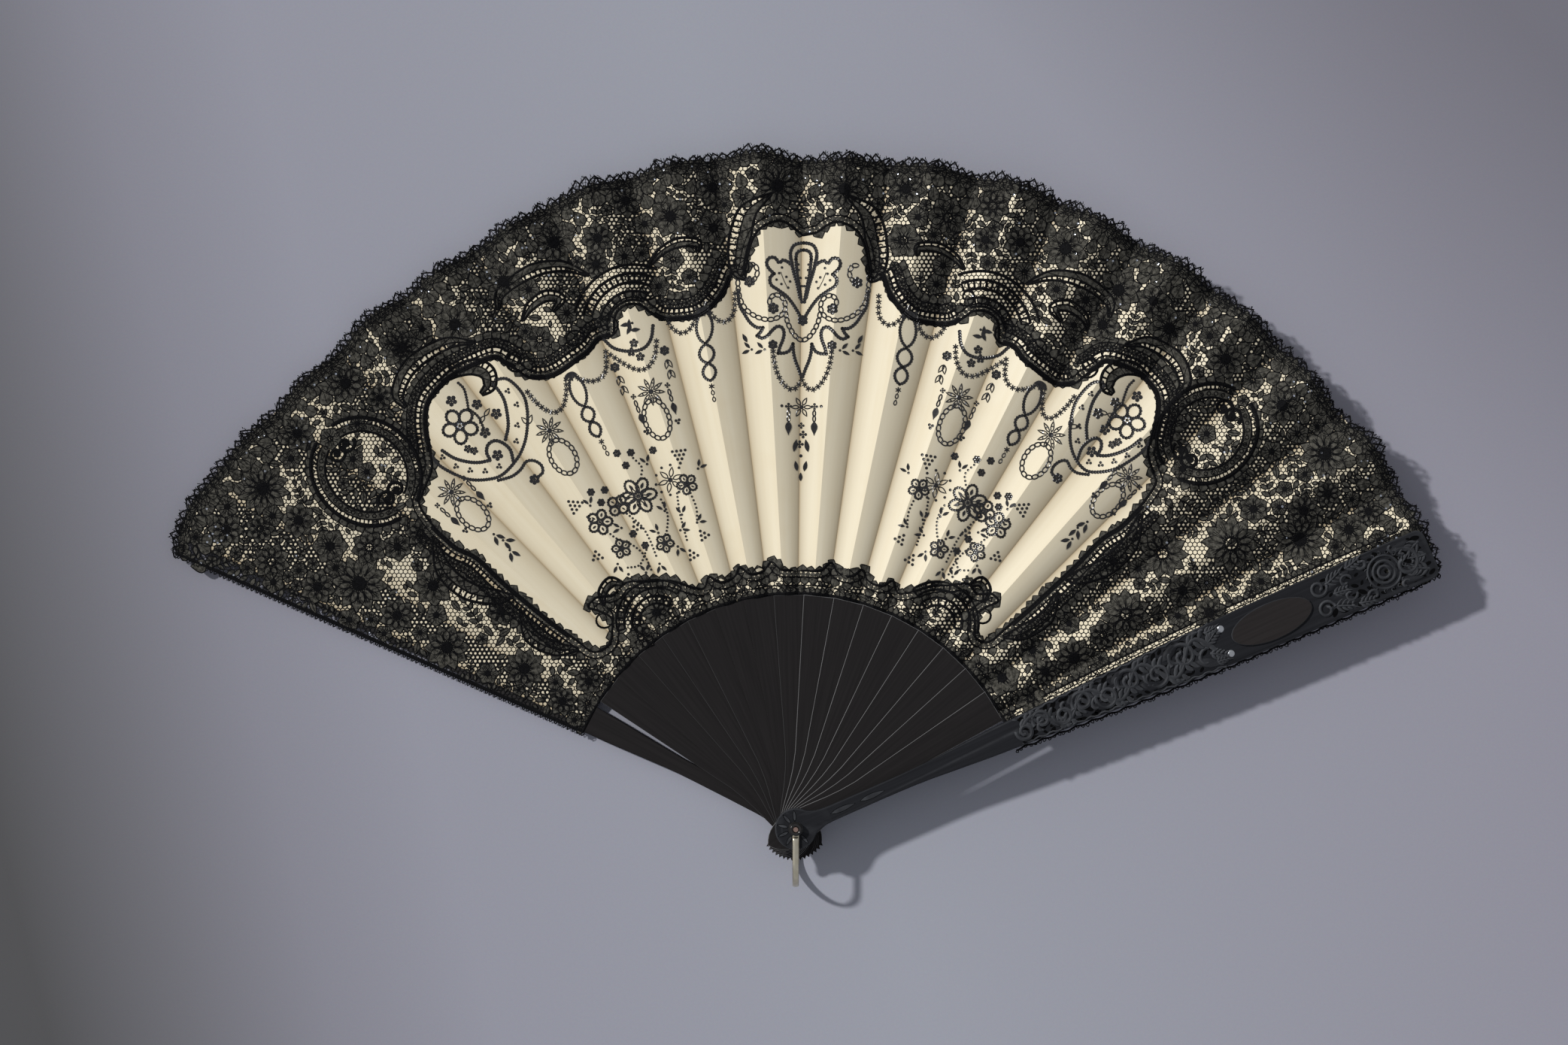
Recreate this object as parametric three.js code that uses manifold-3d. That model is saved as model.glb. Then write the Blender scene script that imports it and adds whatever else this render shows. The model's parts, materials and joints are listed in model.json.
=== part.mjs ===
// Lace folding fan: carved ebony guards, sixteen ebony sticks, a pleated silk leaf
// that is split at its creases, a rivet with its collar, and a bail. Millimetres, +Z up.
// The origin is the rivet's axis on its back face. The fan lies open on its back, +Y runs
// up its middle, and bearings are degrees to the right of +Y, seen from the front.
import * as THREE from 'three';
import { mergeVertices } from 'three/addons/utils/BufferGeometryUtils.js';
import Module from 'manifold-3d';

const wasm = await Module();
wasm.setup();

// Driving dimensions: the spread
const stickCount = 16;
const backGuardBearing = -62.8;
const firstStickBearing = -53.4;
const stickStep = 7.45;
const frontGuardBearing = 66.4;

// Driving dimensions: the stack on the rivet, from the back
const pinHeadThickness = 0.8;
const bailThickness = 0.8;
const guardThickness = 3.8;
const stickThickness = 0.85;
const washerThickness = 0.5;
const collarThickness = 1.2;
const pinEndStandOut = 0.3;
const bailPlay = 0.2;
const stickPlay = 0.2;

// Driving dimensions: the rivet and its collar
const pinDiameter = 2.8;
const pinHeadDiameter = 8;
const pinFit = 0.12;
const collarDiameter = 6.7;
const washerDiameter = 7.4;
const washerPlay = 0.1;

// Driving dimensions: an inner stick
const tailReach = 16.5;
const tailHalfWidth = 8.5;
const tailShoulder = 4;
const neckHalfWidth = 4.4;
const neckAt = 38;
const plateHalfWidth = 8.65;
const plateToLeaf = 0.6;
const ribWidth = 2.6;
const ribThickness = 0.4;
const ribShortOfLeafEdge = 8;

// Driving dimensions: a guard
const guardLength = 350;
const guardHeadRadius = 10.5;
const guardNeckHalfWidth = 3.9;
const guardNeckAt = 26;
const guardStemHalfWidth = 4.1;
const guardStemAt = 68;
const guardShoulderHalfWidth = 7.2;
const guardBladeHalfWidth = 12.2;
const guardBladeAt = 236;
const guardTipHalfWidth = 13;
const guardTipCorner = 5;
const guardEdgeRound = 0.6;

// Driving dimensions: the carving on the front guard
const reliefHeight = 1.1;
const scrollRidgeWidth = 2.4;
const cartoucheAt = 262;
const cartoucheLength = 44;
const cartoucheWidth = 19;
const studDiameter = 3.6;
const studHeight = 0.6;
const studSpread = 13.5;
const studSink = 0.3;
const studSeatGap = 0.05;
const studFit = 0.15;
const tipRingRadius = 8.2;
const tipLeafLength = 17;
const ringLeafLength = 13;
const stemLeafLength = 13;
const carvedLeafWidth = 5;
const carvingFromLeaf = 8;
const sunkDepth = 0.6;
const sunkGrooveWidth = 0.6;
const headLeafLength = 5;
const headLeafCount = 7;

// Driving dimensions: the leaf
const leafInnerRadius = 118.4;
const leafOuterRadius = 346;
const silkThickness = 0.15;
const glueGap = 0.08;
const creaseGap = 0.3;
const foldedGap = 0.2;
const shutPlay = 0.1;
const ribPanelHalfAngle = 1.88;
const pleatTilt = 8;
const endPanelOuterAngle = 2.1;
const backPanelInnerAngle = 2.7;
const frontPanelInnerAngle = 2.6;
const foldMeetsRidgeAt = 285;

// Driving dimensions: the bail
const bailReach = 30;
const bailWidth = 3.2;
const bailEyeDiameter = 6.4;

// Levels on the rivet's axis, worked out from the stack
const backEyeLevel = pinHeadThickness + bailPlay;
const backGuardLevel = backEyeLevel + bailThickness + bailPlay;
const stickPitch = stickThickness + stickPlay;
const firstStickLevel = backGuardLevel + guardThickness + stickPlay;
const frontGuardLevel = firstStickLevel + stickCount * stickPitch;
const washerLevel = frontGuardLevel + guardThickness + washerPlay;
const frontEyeLevel = washerLevel + washerThickness + washerPlay;
const collarLevel = frontEyeLevel + bailThickness + bailPlay;
const pinEndLevel = collarLevel + collarThickness + pinEndStandOut;

const boreRadius = pinDiameter / 2 + pinFit;
const plateEnd = leafInnerRadius - plateToLeaf;
const ribEnd = leafOuterRadius - ribShortOfLeafEdge;
const studLine = cartoucheAt - cartoucheLength / 2 - studDiameter / 2 - 1.5;
const ribHalfWidth = ribWidth / 2;
const silkOverRib = ribThickness + glueGap;
const stickBearing = (k) => firstStickBearing + (k - 1) * stickStep;
const stickLevel = (k) => firstStickLevel + (k - 1) * stickPitch;
const twoDigits = (k) => String(k).padStart(2, '0');
const radians = THREE.MathUtils.degToRad;

// How far a panel glued on its rib stands up at its left crease and hangs down at its right one,
// and the rebates in the guards that take the end panels and the folded leaf
const panelHalfWidth = leafOuterRadius * Math.sin(radians(ribPanelHalfAngle));
const ridgeRise = (panelHalfWidth + ribHalfWidth) * Math.sin(radians(pleatTilt));
const valleyDrop = (panelHalfWidth - ribHalfWidth) * Math.sin(radians(pleatTilt));
const foldedSilk = 2 * silkThickness + foldedGap + shutPlay;
const frontRebate = silkOverRib + ridgeRise + foldedSilk - stickPitch + silkThickness + glueGap;
const backRebate = foldedSilk + glueGap + valleyDrop - silkOverRib - stickPlay;

// Materials
const ebony = new THREE.MeshStandardMaterial({ color: 0x17161a, roughness: 0.42, metalness: 0 });
const carvedEbony = new THREE.MeshStandardMaterial({ color: 0x202127, roughness: 0.5, metalness: 0 });
const silk = new THREE.MeshStandardMaterial({ color: 0xe9e0c6, roughness: 0.55, metalness: 0 });
const nickelSilver = new THREE.MeshStandardMaterial({ color: 0xb3a588, roughness: 0.3, metalness: 1 });
const copper = new THREE.MeshStandardMaterial({ color: 0xb98a78, roughness: 0.35, metalness: 1 });
const blackHorn = new THREE.MeshStandardMaterial({ color: 0x0b0b0d, roughness: 0.15, metalness: 0 });

// A closed mesh as a solid for a cut or a join, and the solid as a geometry again
function solidOf(geometry) {
  const bare = geometry.clone();
  bare.deleteAttribute('normal');
  bare.deleteAttribute('uv');
  const welded = mergeVertices(bare, 1e-4);
  const vertProperties = new Float32Array(welded.attributes.position.array);
  const triVerts = new Uint32Array(welded.index.array);
  return new wasm.Manifold(new wasm.Mesh({ numProp: 3, vertProperties, triVerts }));
}

function geometryOf(solid) {
  const mesh = solid.getMesh();
  const geometry = new THREE.BufferGeometry();
  geometry.setAttribute('position', new THREE.BufferAttribute(new Float32Array(mesh.vertProperties), 3));
  geometry.setIndex(new THREE.BufferAttribute(new Uint32Array(mesh.triVerts), 1));
  geometry.computeVertexNormals();
  return geometry;
}

function boreHole(shape, radius) {
  const hole = new THREE.Path();
  hole.absarc(0, 0, radius, 0, Math.PI * 2, true);
  shape.holes.push(hole);
}

function plate(shape, thickness, curveSegments = 6) {
  return new THREE.ExtrudeGeometry(shape, { depth: thickness, bevelEnabled: false, curveSegments });
}

function ring(outerRadius, innerRadius, bottom, top, roundTop) {
  const profile = [
    new THREE.Vector2(innerRadius, bottom),
    new THREE.Vector2(outerRadius, bottom),
    new THREE.Vector2(outerRadius, top - roundTop),
    new THREE.Vector2(outerRadius - roundTop * 0.3, top - roundTop * 0.3),
    new THREE.Vector2(outerRadius - roundTop, top),
    new THREE.Vector2(innerRadius, top),
    new THREE.Vector2(innerRadius, bottom),
  ];
  return new THREE.LatheGeometry(profile, 32).rotateX(Math.PI / 2);
}

// Inner sticks: a wide plate in the gorge with an ogee tail, and a thin rib behind the leaf
function stickGeometry() {
  const blade = new THREE.Shape();
  blade.moveTo(0, -tailReach);
  blade.quadraticCurveTo(tailHalfWidth * 0.85, -tailReach * 0.78, tailHalfWidth, -tailShoulder);
  blade.bezierCurveTo(tailHalfWidth, neckAt * 0.3, neckHalfWidth, neckAt * 0.5, neckHalfWidth, neckAt);
  blade.lineTo(plateHalfWidth, plateEnd);
  blade.lineTo(-plateHalfWidth, plateEnd);
  blade.lineTo(-neckHalfWidth, neckAt);
  blade.bezierCurveTo(-neckHalfWidth, neckAt * 0.5, -tailHalfWidth, neckAt * 0.3, -tailHalfWidth, -tailShoulder);
  blade.quadraticCurveTo(-tailHalfWidth * 0.85, -tailReach * 0.78, 0, -tailReach);
  boreHole(blade, boreRadius);

  const rib = new THREE.Shape();
  rib.moveTo(-ribHalfWidth, plateEnd - ribWidth);
  rib.lineTo(ribHalfWidth, plateEnd - ribWidth);
  rib.lineTo(ribHalfWidth, ribEnd - ribHalfWidth);
  rib.absarc(0, ribEnd - ribHalfWidth, ribHalfWidth, 0, Math.PI, false);
  rib.lineTo(-ribHalfWidth, plateEnd - ribWidth);
  return geometryOf(solidOf(plate(blade, stickThickness)).add(solidOf(plate(rib, ribThickness, 4))));
}

// Guards: a round head on the rivet, a slim stem, and a blade as wide as the folded leaf
function guardOutline(inset) {
  const stemSide = new THREE.SplineCurve([
    new THREE.Vector2(guardNeckHalfWidth, guardNeckAt),
    new THREE.Vector2(guardStemHalfWidth, guardStemAt),
    new THREE.Vector2(guardShoulderHalfWidth, plateEnd),
    new THREE.Vector2(guardBladeHalfWidth, guardBladeAt),
    new THREE.Vector2(guardTipHalfWidth, guardLength - guardTipCorner),
  ]).getPoints(22);
  const headJoin = radians(48);
  const headX = (guardHeadRadius - inset) * Math.cos(headJoin);
  const headY = (guardHeadRadius - inset) * Math.sin(headJoin);
  const neckPull = (guardNeckAt - headY) * 0.5;
  const tipY = guardLength - inset;
  const tipX = guardTipHalfWidth - inset;
  const outline = new THREE.Shape();
  outline.absarc(0, 0, guardHeadRadius - inset, Math.PI - headJoin, Math.PI * 2 + headJoin, false);
  outline.bezierCurveTo(
    headX - neckPull * 0.35, headY + neckPull * 0.4,
    guardNeckHalfWidth - inset, guardNeckAt - neckPull,
    guardNeckHalfWidth - inset, guardNeckAt,
  );
  for (const point of stemSide.slice(1)) outline.lineTo(point.x - inset, point.y);
  outline.quadraticCurveTo(tipX, tipY, tipX - guardTipCorner, tipY);
  outline.lineTo(guardTipCorner - tipX, tipY);
  outline.quadraticCurveTo(-tipX, tipY, -tipX, guardLength - guardTipCorner);
  for (const point of stemSide.slice(0, -1).reverse()) outline.lineTo(inset - point.x, point.y);
  outline.bezierCurveTo(
    inset - guardNeckHalfWidth, guardNeckAt - neckPull,
    neckPull * 0.35 - headX, headY + neckPull * 0.4,
    -headX, headY,
  );
  return outline;
}

function guardBlank() {
  const body = new THREE.ExtrudeGeometry(guardOutline(guardEdgeRound), {
    depth: guardThickness - 2 * guardEdgeRound,
    bevelEnabled: true,
    bevelThickness: guardEdgeRound,
    bevelSize: guardEdgeRound,
    bevelSegments: 2,
    curveSegments: 10,
  }).translate(0, 0, guardEdgeRound);
  const bore = new THREE.CylinderGeometry(boreRadius, boreRadius, guardThickness * 2, 28);
  bore.rotateX(Math.PI / 2).translate(0, 0, guardThickness / 2);
  return solidOf(body).subtract(solidOf(bore));
}

// The seat that the end panel of the leaf is glued into, on the guard's inner face
function leafSeat(innerFace, depth) {
  const length = guardLength;
  const seat = new THREE.BoxGeometry(4 * guardTipHalfWidth, length, depth * 2);
  seat.translate(0, plateEnd + length / 2, innerFace);
  return solidOf(seat);
}

// Carving: a scroll is a round ridge that winds inwards, half sunk in the guard's face
class Scroll extends THREE.Curve {
  constructor(x, y, radius, startDegrees, turns, hand) {
    super();
    Object.assign(this, { x, y, radius, start: radians(startDegrees), turns, hand });
  }
  getPoint(t, target = new THREE.Vector3()) {
    const reach = this.radius * (1 - 0.72 * t);
    const angle = this.start + this.hand * this.turns * 2 * Math.PI * t;
    return target.set(this.x + reach * Math.cos(angle), this.y + reach * Math.sin(angle), guardThickness);
  }
}

function ridge(curve, width, steps) {
  const section = new THREE.Shape();
  const sides = 6;
  for (let i = 0; i < sides; i += 1) {
    const angle = (i / sides) * 2 * Math.PI;
    const point = [reliefHeight * Math.cos(angle), (width / 2) * Math.sin(angle)];
    if (i === 0) section.moveTo(...point);
    else section.lineTo(...point);
  }
  section.closePath();
  return new THREE.ExtrudeGeometry(section, { steps, extrudePath: curve, bevelEnabled: false });
}

function leafOutline(length, width, margin) {
  const outline = new THREE.Shape();
  outline.moveTo(0, -margin);
  outline.quadraticCurveTo(width + margin, length * 0.4, 0, length + margin);
  outline.quadraticCurveTo(-width - margin, length * 0.4, 0, -margin);
  return outline;
}

function carvedLeaf(x, y, length, width, bearing) {
  const bevel = reliefHeight * 0.5;
  return new THREE.ExtrudeGeometry(leafOutline(length, width, 0), {
    depth: bevel,
    bevelEnabled: true,
    bevelThickness: bevel,
    bevelSize: bevel,
    bevelOffset: -bevel,
    bevelSegments: 1,
    curveSegments: 5,
  }).rotateZ(-radians(bearing)).translate(x, y, guardThickness - bevel);
}

// A leaf outlined by a groove cut down into the face, so that the bail's eye and strap can pass over it
function sunkLeaf(guard, x, y, length, width, bearing) {
  const groove = leafOutline(length, width, sunkGrooveWidth);
  groove.holes.push(leafOutline(length, width, 0));
  const cut = plate(groove, guardThickness, 5);
  cut.rotateZ(-radians(bearing)).translate(x, y, guardThickness - sunkDepth);
  return guard.subtract(solidOf(cut));
}

function cartouche() {
  const oval = new THREE.Shape();
  oval.absellipse(0, 0, cartoucheWidth / 2, cartoucheLength / 2, 0, 2 * Math.PI, false, 0);
  const bevel = reliefHeight * 0.4;
  return new THREE.ExtrudeGeometry(oval, {
    depth: reliefHeight - bevel + 0.5,
    bevelEnabled: true,
    bevelThickness: bevel,
    bevelSize: bevel,
    bevelOffset: -bevel,
    bevelSegments: 1,
    curveSegments: 14,
  }).translate(0, cartoucheAt, guardThickness - 0.5);
}

function guardHalfWidthAt(y) {
  if (y < plateEnd) {
    const share = Math.max(0, (y - guardStemAt) / (plateEnd - guardStemAt));
    return guardStemHalfWidth + share * (guardShoulderHalfWidth - guardStemHalfWidth);
  }
  const share = Math.min(1, (y - plateEnd) / (guardBladeAt - plateEnd));
  return guardShoulderHalfWidth + share * (guardBladeHalfWidth - guardShoulderHalfWidth);
}

function frontGuardGeometry() {
  let guard = guardBlank().subtract(leafSeat(0, frontRebate));
  const add = (geometry) => {
    guard = guard.add(solidOf(geometry));
  };

  // Running scrolls with leaves from the stem to the cartouche, turning left and right
  const cartoucheStart = cartoucheAt - cartoucheLength / 2;
  const cartoucheEnd = cartoucheAt + cartoucheLength / 2;
  let hand = 1;
  let y = plateEnd + carvingFromLeaf;
  while (y < studLine - carvingFromLeaf) {
    const room = guardHalfWidthAt(y) - guardEdgeRound - scrollRidgeWidth / 2;
    add(ridge(new Scroll(hand * room * 0.18, y, room * 0.8, hand > 0 ? -110 : -70, 1.3, hand), scrollRidgeWidth, 22));
    add(carvedLeaf(-hand * room * 0.35, y + room * 0.5, room * 1.5, room * 0.6, -hand * 28));
    y += room * 1.75;
    hand = -hand;
  }

  // The bare oval, and the wreath of scrolls round the pierced ring at the tip
  add(cartouche());
  const tipRingAt = guardLength - guardTipCorner - tipRingRadius - scrollRidgeWidth / 2;
  const wreathRoom = guardTipHalfWidth - guardEdgeRound - scrollRidgeWidth / 2;
  for (const side of [-1, 1]) {
    const curlRadius = wreathRoom * 0.42;
    const curlAt = cartoucheEnd + curlRadius + scrollRidgeWidth / 2;
    add(ridge(new Scroll(side * wreathRoom * 0.52, curlAt, curlRadius, 90, 1.2, side), scrollRidgeWidth * 0.8, 18));
    add(carvedLeaf(side * 2, curlAt + curlRadius * 0.6, tipLeafLength, carvedLeafWidth, side * 22));
    add(carvedLeaf(side * tipRingRadius * 0.9, tipRingAt - ringLeafLength / 2, ringLeafLength, carvedLeafWidth * 0.8, side * 12));
  }
  add(ridge(new Scroll(0, tipRingAt, tipRingRadius, 200, 0.98, -1), scrollRidgeWidth, 26));

  // Piercings between the ring and the wreath
  for (const degrees of [215, 270, 325]) {
    const holeReach = tipRingRadius + scrollRidgeWidth * 0.9;
    const pierce = new THREE.CylinderGeometry(1.3, 1.3, guardThickness * 3, 10).rotateX(Math.PI / 2);
    pierce.translate(holeReach * Math.cos(radians(degrees)), tipRingAt + holeReach * Math.sin(radians(degrees)), 0);
    guard = guard.subtract(solidOf(pierce));
  }

  // Sunk leaves: two up the neck, and a fan of them round the head
  for (const leafNumber of [0, 1]) {
    const neckY = guardNeckAt + (1.25 * leafNumber - 0.5) * stemLeafLength;
    guard = sunkLeaf(guard, 0, neckY, stemLeafLength, guardNeckHalfWidth * 0.6, 0);
  }
  for (let i = 0; i < headLeafCount; i += 1) {
    const bearing = 180 + (i - (headLeafCount - 1) / 2) * 36;
    const reach = bailEyeDiameter / 2 + 1;
    const x = reach * Math.sin(radians(bearing));
    guard = sunkLeaf(guard, x, reach * Math.cos(radians(bearing)), headLeafLength, headLeafLength * 0.28, bearing);
  }

  // Blind seats for the two studs
  for (const side of [-1, 1]) {
    const seat = new THREE.CylinderGeometry(studDiameter / 2 + studFit, studDiameter / 2 + studFit, guardThickness, 20);
    seat.rotateX(Math.PI / 2).translate(side * studSpread / 2, studLine, guardThickness * 1.5 - studSink);
    guard = guard.subtract(solidOf(seat));
  }
  return geometryOf(guard);
}

function studGeometry() {
  const dome = studHeight;
  const radius = studDiameter / 2;
  const profile = [
    new THREE.Vector2(0, 0),
    new THREE.Vector2(radius, 0),
    new THREE.Vector2(radius, dome * 0.5),
    new THREE.Vector2(radius * 0.75, dome * 0.9),
    new THREE.Vector2(0, dome),
  ];
  return new THREE.LatheGeometry(profile, 20).rotateX(Math.PI / 2);
}

// Leaf panels: flat sectors between two creases, with their edges drawn back from the crease
function panelGeometry(leftDegrees, rightDegrees, bottom = 0) {
  const draw = (radius) => Math.asin(creaseGap / 2 / radius);
  const left = Math.PI / 2 - radians(leftDegrees);
  const right = Math.PI / 2 - radians(rightDegrees);
  const sector = new THREE.Shape();
  const inner = draw(leafInnerRadius);
  const outer = draw(leafOuterRadius);
  sector.absarc(0, 0, leafInnerRadius, left - inner, right + inner, true);
  sector.absarc(0, 0, leafOuterRadius, right + outer, left - outer, false);
  sector.closePath();
  return plate(sector, silkThickness, 5).translate(0, 0, bottom);
}

function bailGeometry() {
  const loopHeight = frontEyeLevel - backEyeLevel - bailThickness;
  const outerRadius = loopHeight / 2 + bailThickness;
  const middle = (frontEyeLevel + backEyeLevel + bailThickness) / 2;
  const bendAt = bailReach - outerRadius;
  const profile = new THREE.Shape();
  profile.moveTo(0, -outerRadius);
  profile.lineTo(bendAt, -outerRadius);
  profile.absarc(bendAt, 0, outerRadius, -Math.PI / 2, Math.PI / 2, false);
  profile.lineTo(0, outerRadius);
  profile.lineTo(0, outerRadius - bailThickness);
  profile.lineTo(bendAt, outerRadius - bailThickness);
  profile.absarc(bendAt, 0, outerRadius - bailThickness, Math.PI / 2, -Math.PI / 2, true);
  profile.lineTo(0, bailThickness - outerRadius);
  profile.closePath();
  const strap = plate(profile, bailWidth, 16).rotateX(Math.PI / 2).rotateZ(-Math.PI / 2);
  strap.translate(bailWidth / 2, 0, middle);
  let bail = solidOf(strap);
  for (const level of [backEyeLevel, frontEyeLevel]) {
    const eye = new THREE.CylinderGeometry(bailEyeDiameter / 2, bailEyeDiameter / 2, bailThickness, 28);
    bail = bail.add(solidOf(eye.rotateX(Math.PI / 2).translate(0, 0, level + bailThickness / 2)));
  }
  const bore = new THREE.CylinderGeometry(boreRadius, boreRadius, pinEndLevel * 2, 28).rotateX(Math.PI / 2);
  return geometryOf(bail.subtract(solidOf(bore)));
}

function pinGeometry() {
  const radius = pinDiameter / 2;
  const edge = 0.2;
  const profile = [
    new THREE.Vector2(0, 0),
    new THREE.Vector2(pinHeadDiameter / 2 - edge, 0),
    new THREE.Vector2(pinHeadDiameter / 2, edge),
    new THREE.Vector2(pinHeadDiameter / 2, pinHeadThickness - edge),
    new THREE.Vector2(pinHeadDiameter / 2 - edge, pinHeadThickness),
    new THREE.Vector2(radius, pinHeadThickness),
    new THREE.Vector2(radius, pinEndLevel - edge),
    new THREE.Vector2(radius - edge, pinEndLevel),
    new THREE.Vector2(0, pinEndLevel),
  ];
  return new THREE.LatheGeometry(profile, 32).rotateX(Math.PI / 2);
}

function named(name, geometry, material) {
  const mesh = new THREE.Mesh(geometry, material);
  mesh.name = name;
  return mesh;
}

// A group that turns with one stick or guard: its own +Y points along the stick
function spoke(bearing, level) {
  const group = new THREE.Group();
  group.rotation.z = -radians(bearing);
  group.position.z = level;
  return group;
}

const fan = new THREE.Group();

// The rivet, its collar, the washer under the bail's front eye, and the bail
fan.add(named('rivet_pin', pinGeometry(), copper));
const collarTop = collarLevel + collarThickness;
fan.add(named('front_collar', ring(collarDiameter / 2, boreRadius, collarLevel, collarTop, 0.5), blackHorn));
const washerTop = washerLevel + washerThickness;
fan.add(named('front_washer', ring(washerDiameter / 2, boreRadius, washerLevel, washerTop, 0.1), blackHorn));
fan.add(named('bail', bailGeometry(), nickelSilver));

// The back guard with the first panel of the leaf glued on its inner face
const backGuard = spoke(backGuardBearing, backGuardLevel);
const backGuardSolid = guardBlank().subtract(leafSeat(guardThickness, backRebate));
backGuard.add(named('back_guard', geometryOf(backGuardSolid), ebony));
const backSeat = new THREE.Group();
backSeat.position.z = guardThickness - backRebate + glueGap;
backSeat.add(named('leaf_panel_00', panelGeometry(-endPanelOuterAngle, backPanelInnerAngle), silk));
backGuard.add(backSeat);
fan.add(backGuard);

// Each panel's frame, the sector's own apex at its origin, and its left and right creases
const panels = [{ frame: backSeat, right: backPanelInnerAngle }];
const stick = stickGeometry();
for (let k = 1; k <= stickCount; k += 1) {
  const group = spoke(stickBearing(k), stickLevel(k));
  group.add(named(`stick_${twoDigits(k)}`, stick, ebony));
  const tilt = new THREE.Group();
  tilt.position.set(ribHalfWidth, 0, silkOverRib);
  tilt.rotation.y = radians(pleatTilt);
  const frame = new THREE.Group();
  frame.position.x = -ribHalfWidth;
  const sector = panelGeometry(-ribPanelHalfAngle, ribPanelHalfAngle);
  frame.add(named(`leaf_panel_${twoDigits(k)}`, sector, silk));
  tilt.add(frame);
  group.add(tilt);
  fan.add(group);
  panels.push({ frame, left: -ribPanelHalfAngle, right: ribPanelHalfAngle });
}

// The front guard with the last panel glued under it
const frontGuard = spoke(frontGuardBearing, frontGuardLevel);
frontGuard.add(named('front_guard', frontGuardGeometry(), carvedEbony));
for (const [name, side] of [['left_stud', -1], ['right_stud', 1]]) {
  const stud = named(name, studGeometry(), nickelSilver);
  stud.position.set(side * studSpread / 2, studLine, guardThickness - studSink + studSeatGap);
  frontGuard.add(stud);
}
const frontSeat = new THREE.Group();
frontSeat.position.z = frontRebate - glueGap - silkThickness;
const lastPanel = `leaf_panel_${twoDigits(stickCount + 1)}`;
frontSeat.add(named(lastPanel, panelGeometry(-frontPanelInnerAngle, endPanelOuterAngle), silk));
frontGuard.add(frontSeat);
fan.add(frontGuard);
panels.push({ frame: frontSeat, left: -frontPanelInnerAngle });

// Free panels: each turns on the valley crease of one panel and rises to the ridge of the next.
// The crease's axis lies above the silk, so that a folded panel comes down on its neighbour.
const creaseLevel = silkThickness + foldedGap / 2;
fan.updateMatrixWorld(true);
for (let k = 0; k <= stickCount; k += 1) {
  const valley = new THREE.Group();
  valley.rotation.z = -radians(panels[k].right);
  valley.position.z = creaseLevel;
  panels[k].frame.add(valley);
  valley.updateWorldMatrix(true, false);
  const next = panels[k + 1];
  const ridgeDirection = radians(next.left);
  const ridgePoint = new THREE.Vector3(Math.sin(ridgeDirection), Math.cos(ridgeDirection), 0);
  next.frame.localToWorld(ridgePoint.multiplyScalar(foldMeetsRidgeAt));
  valley.worldToLocal(ridgePoint);
  const fold = new THREE.Group();
  fold.rotation.y = -Math.atan2(ridgePoint.z, ridgePoint.x);
  const foldWidth = THREE.MathUtils.radToDeg(Math.atan2(Math.hypot(ridgePoint.x, ridgePoint.z), ridgePoint.y));
  fold.add(named(`leaf_fold_${twoDigits(k)}`, panelGeometry(0, foldWidth, -creaseLevel), silk));
  valley.add(fold);
}

export default fan;
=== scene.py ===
# A black lace folding fan, open and lying on its back on grey paper.
# Metres, in the CAD frame: the rivet's axis is Z, +Y runs up the middle of the open fan.
import json
import math
import random
import bpy
import numpy as np
from mathutils import Matrix, Vector

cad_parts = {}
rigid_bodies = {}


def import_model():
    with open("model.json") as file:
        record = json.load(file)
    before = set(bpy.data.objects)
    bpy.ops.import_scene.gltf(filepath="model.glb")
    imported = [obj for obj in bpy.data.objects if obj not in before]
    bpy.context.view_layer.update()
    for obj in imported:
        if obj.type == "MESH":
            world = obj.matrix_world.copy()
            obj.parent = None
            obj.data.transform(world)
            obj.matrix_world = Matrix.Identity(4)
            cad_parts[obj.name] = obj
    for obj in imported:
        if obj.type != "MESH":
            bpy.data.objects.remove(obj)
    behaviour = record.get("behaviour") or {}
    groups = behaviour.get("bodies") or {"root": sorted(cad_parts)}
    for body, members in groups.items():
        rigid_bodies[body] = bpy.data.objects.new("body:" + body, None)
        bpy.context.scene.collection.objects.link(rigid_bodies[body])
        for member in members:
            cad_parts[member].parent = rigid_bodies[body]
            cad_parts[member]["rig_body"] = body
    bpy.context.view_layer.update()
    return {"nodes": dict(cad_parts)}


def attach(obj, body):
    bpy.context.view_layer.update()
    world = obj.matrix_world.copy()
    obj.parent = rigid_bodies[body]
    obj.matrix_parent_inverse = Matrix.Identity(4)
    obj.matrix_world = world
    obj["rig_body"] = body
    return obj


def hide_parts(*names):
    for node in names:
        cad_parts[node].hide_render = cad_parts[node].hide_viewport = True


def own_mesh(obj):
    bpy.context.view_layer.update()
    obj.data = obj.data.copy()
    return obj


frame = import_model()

bpy.ops.object.select_all(action="DESELECT")

# Paper, light and camera
# The fan lies on a sheet of grey-lilac paper under one soft lamp, high on the upper left,
# and is seen from straight above.
scene = bpy.context.scene
scene.view_settings.view_transform = "Standard"
camera_above = 1.615
bpy.ops.object.camera_add(location=(-0.0059, 0.1547, camera_above), rotation=(0, 0, 0))
camera = bpy.context.object
camera.data.lens = 72.3
camera.data.sensor_width = 36
scene.camera = camera

bpy.ops.object.light_add(type="SUN", location=(-0.8, 0.6, 1))
lamp = bpy.context.object
lamp.rotation_euler = Vector((-0.76, 0.43, 0.67)).to_track_quat("Z", "Y").to_euler()
lamp.data.energy = 2.85
lamp.data.angle = math.radians(3)
lamp.data.color = (1, 0.985, 0.96)

room = bpy.data.worlds.new("room light")
scene.world = room
room.use_nodes = True
room.node_tree.nodes["Background"].inputs["Color"].default_value = (0.93, 0.95, 1, 1)
room.node_tree.nodes["Background"].inputs["Strength"].default_value = 0.38


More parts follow.
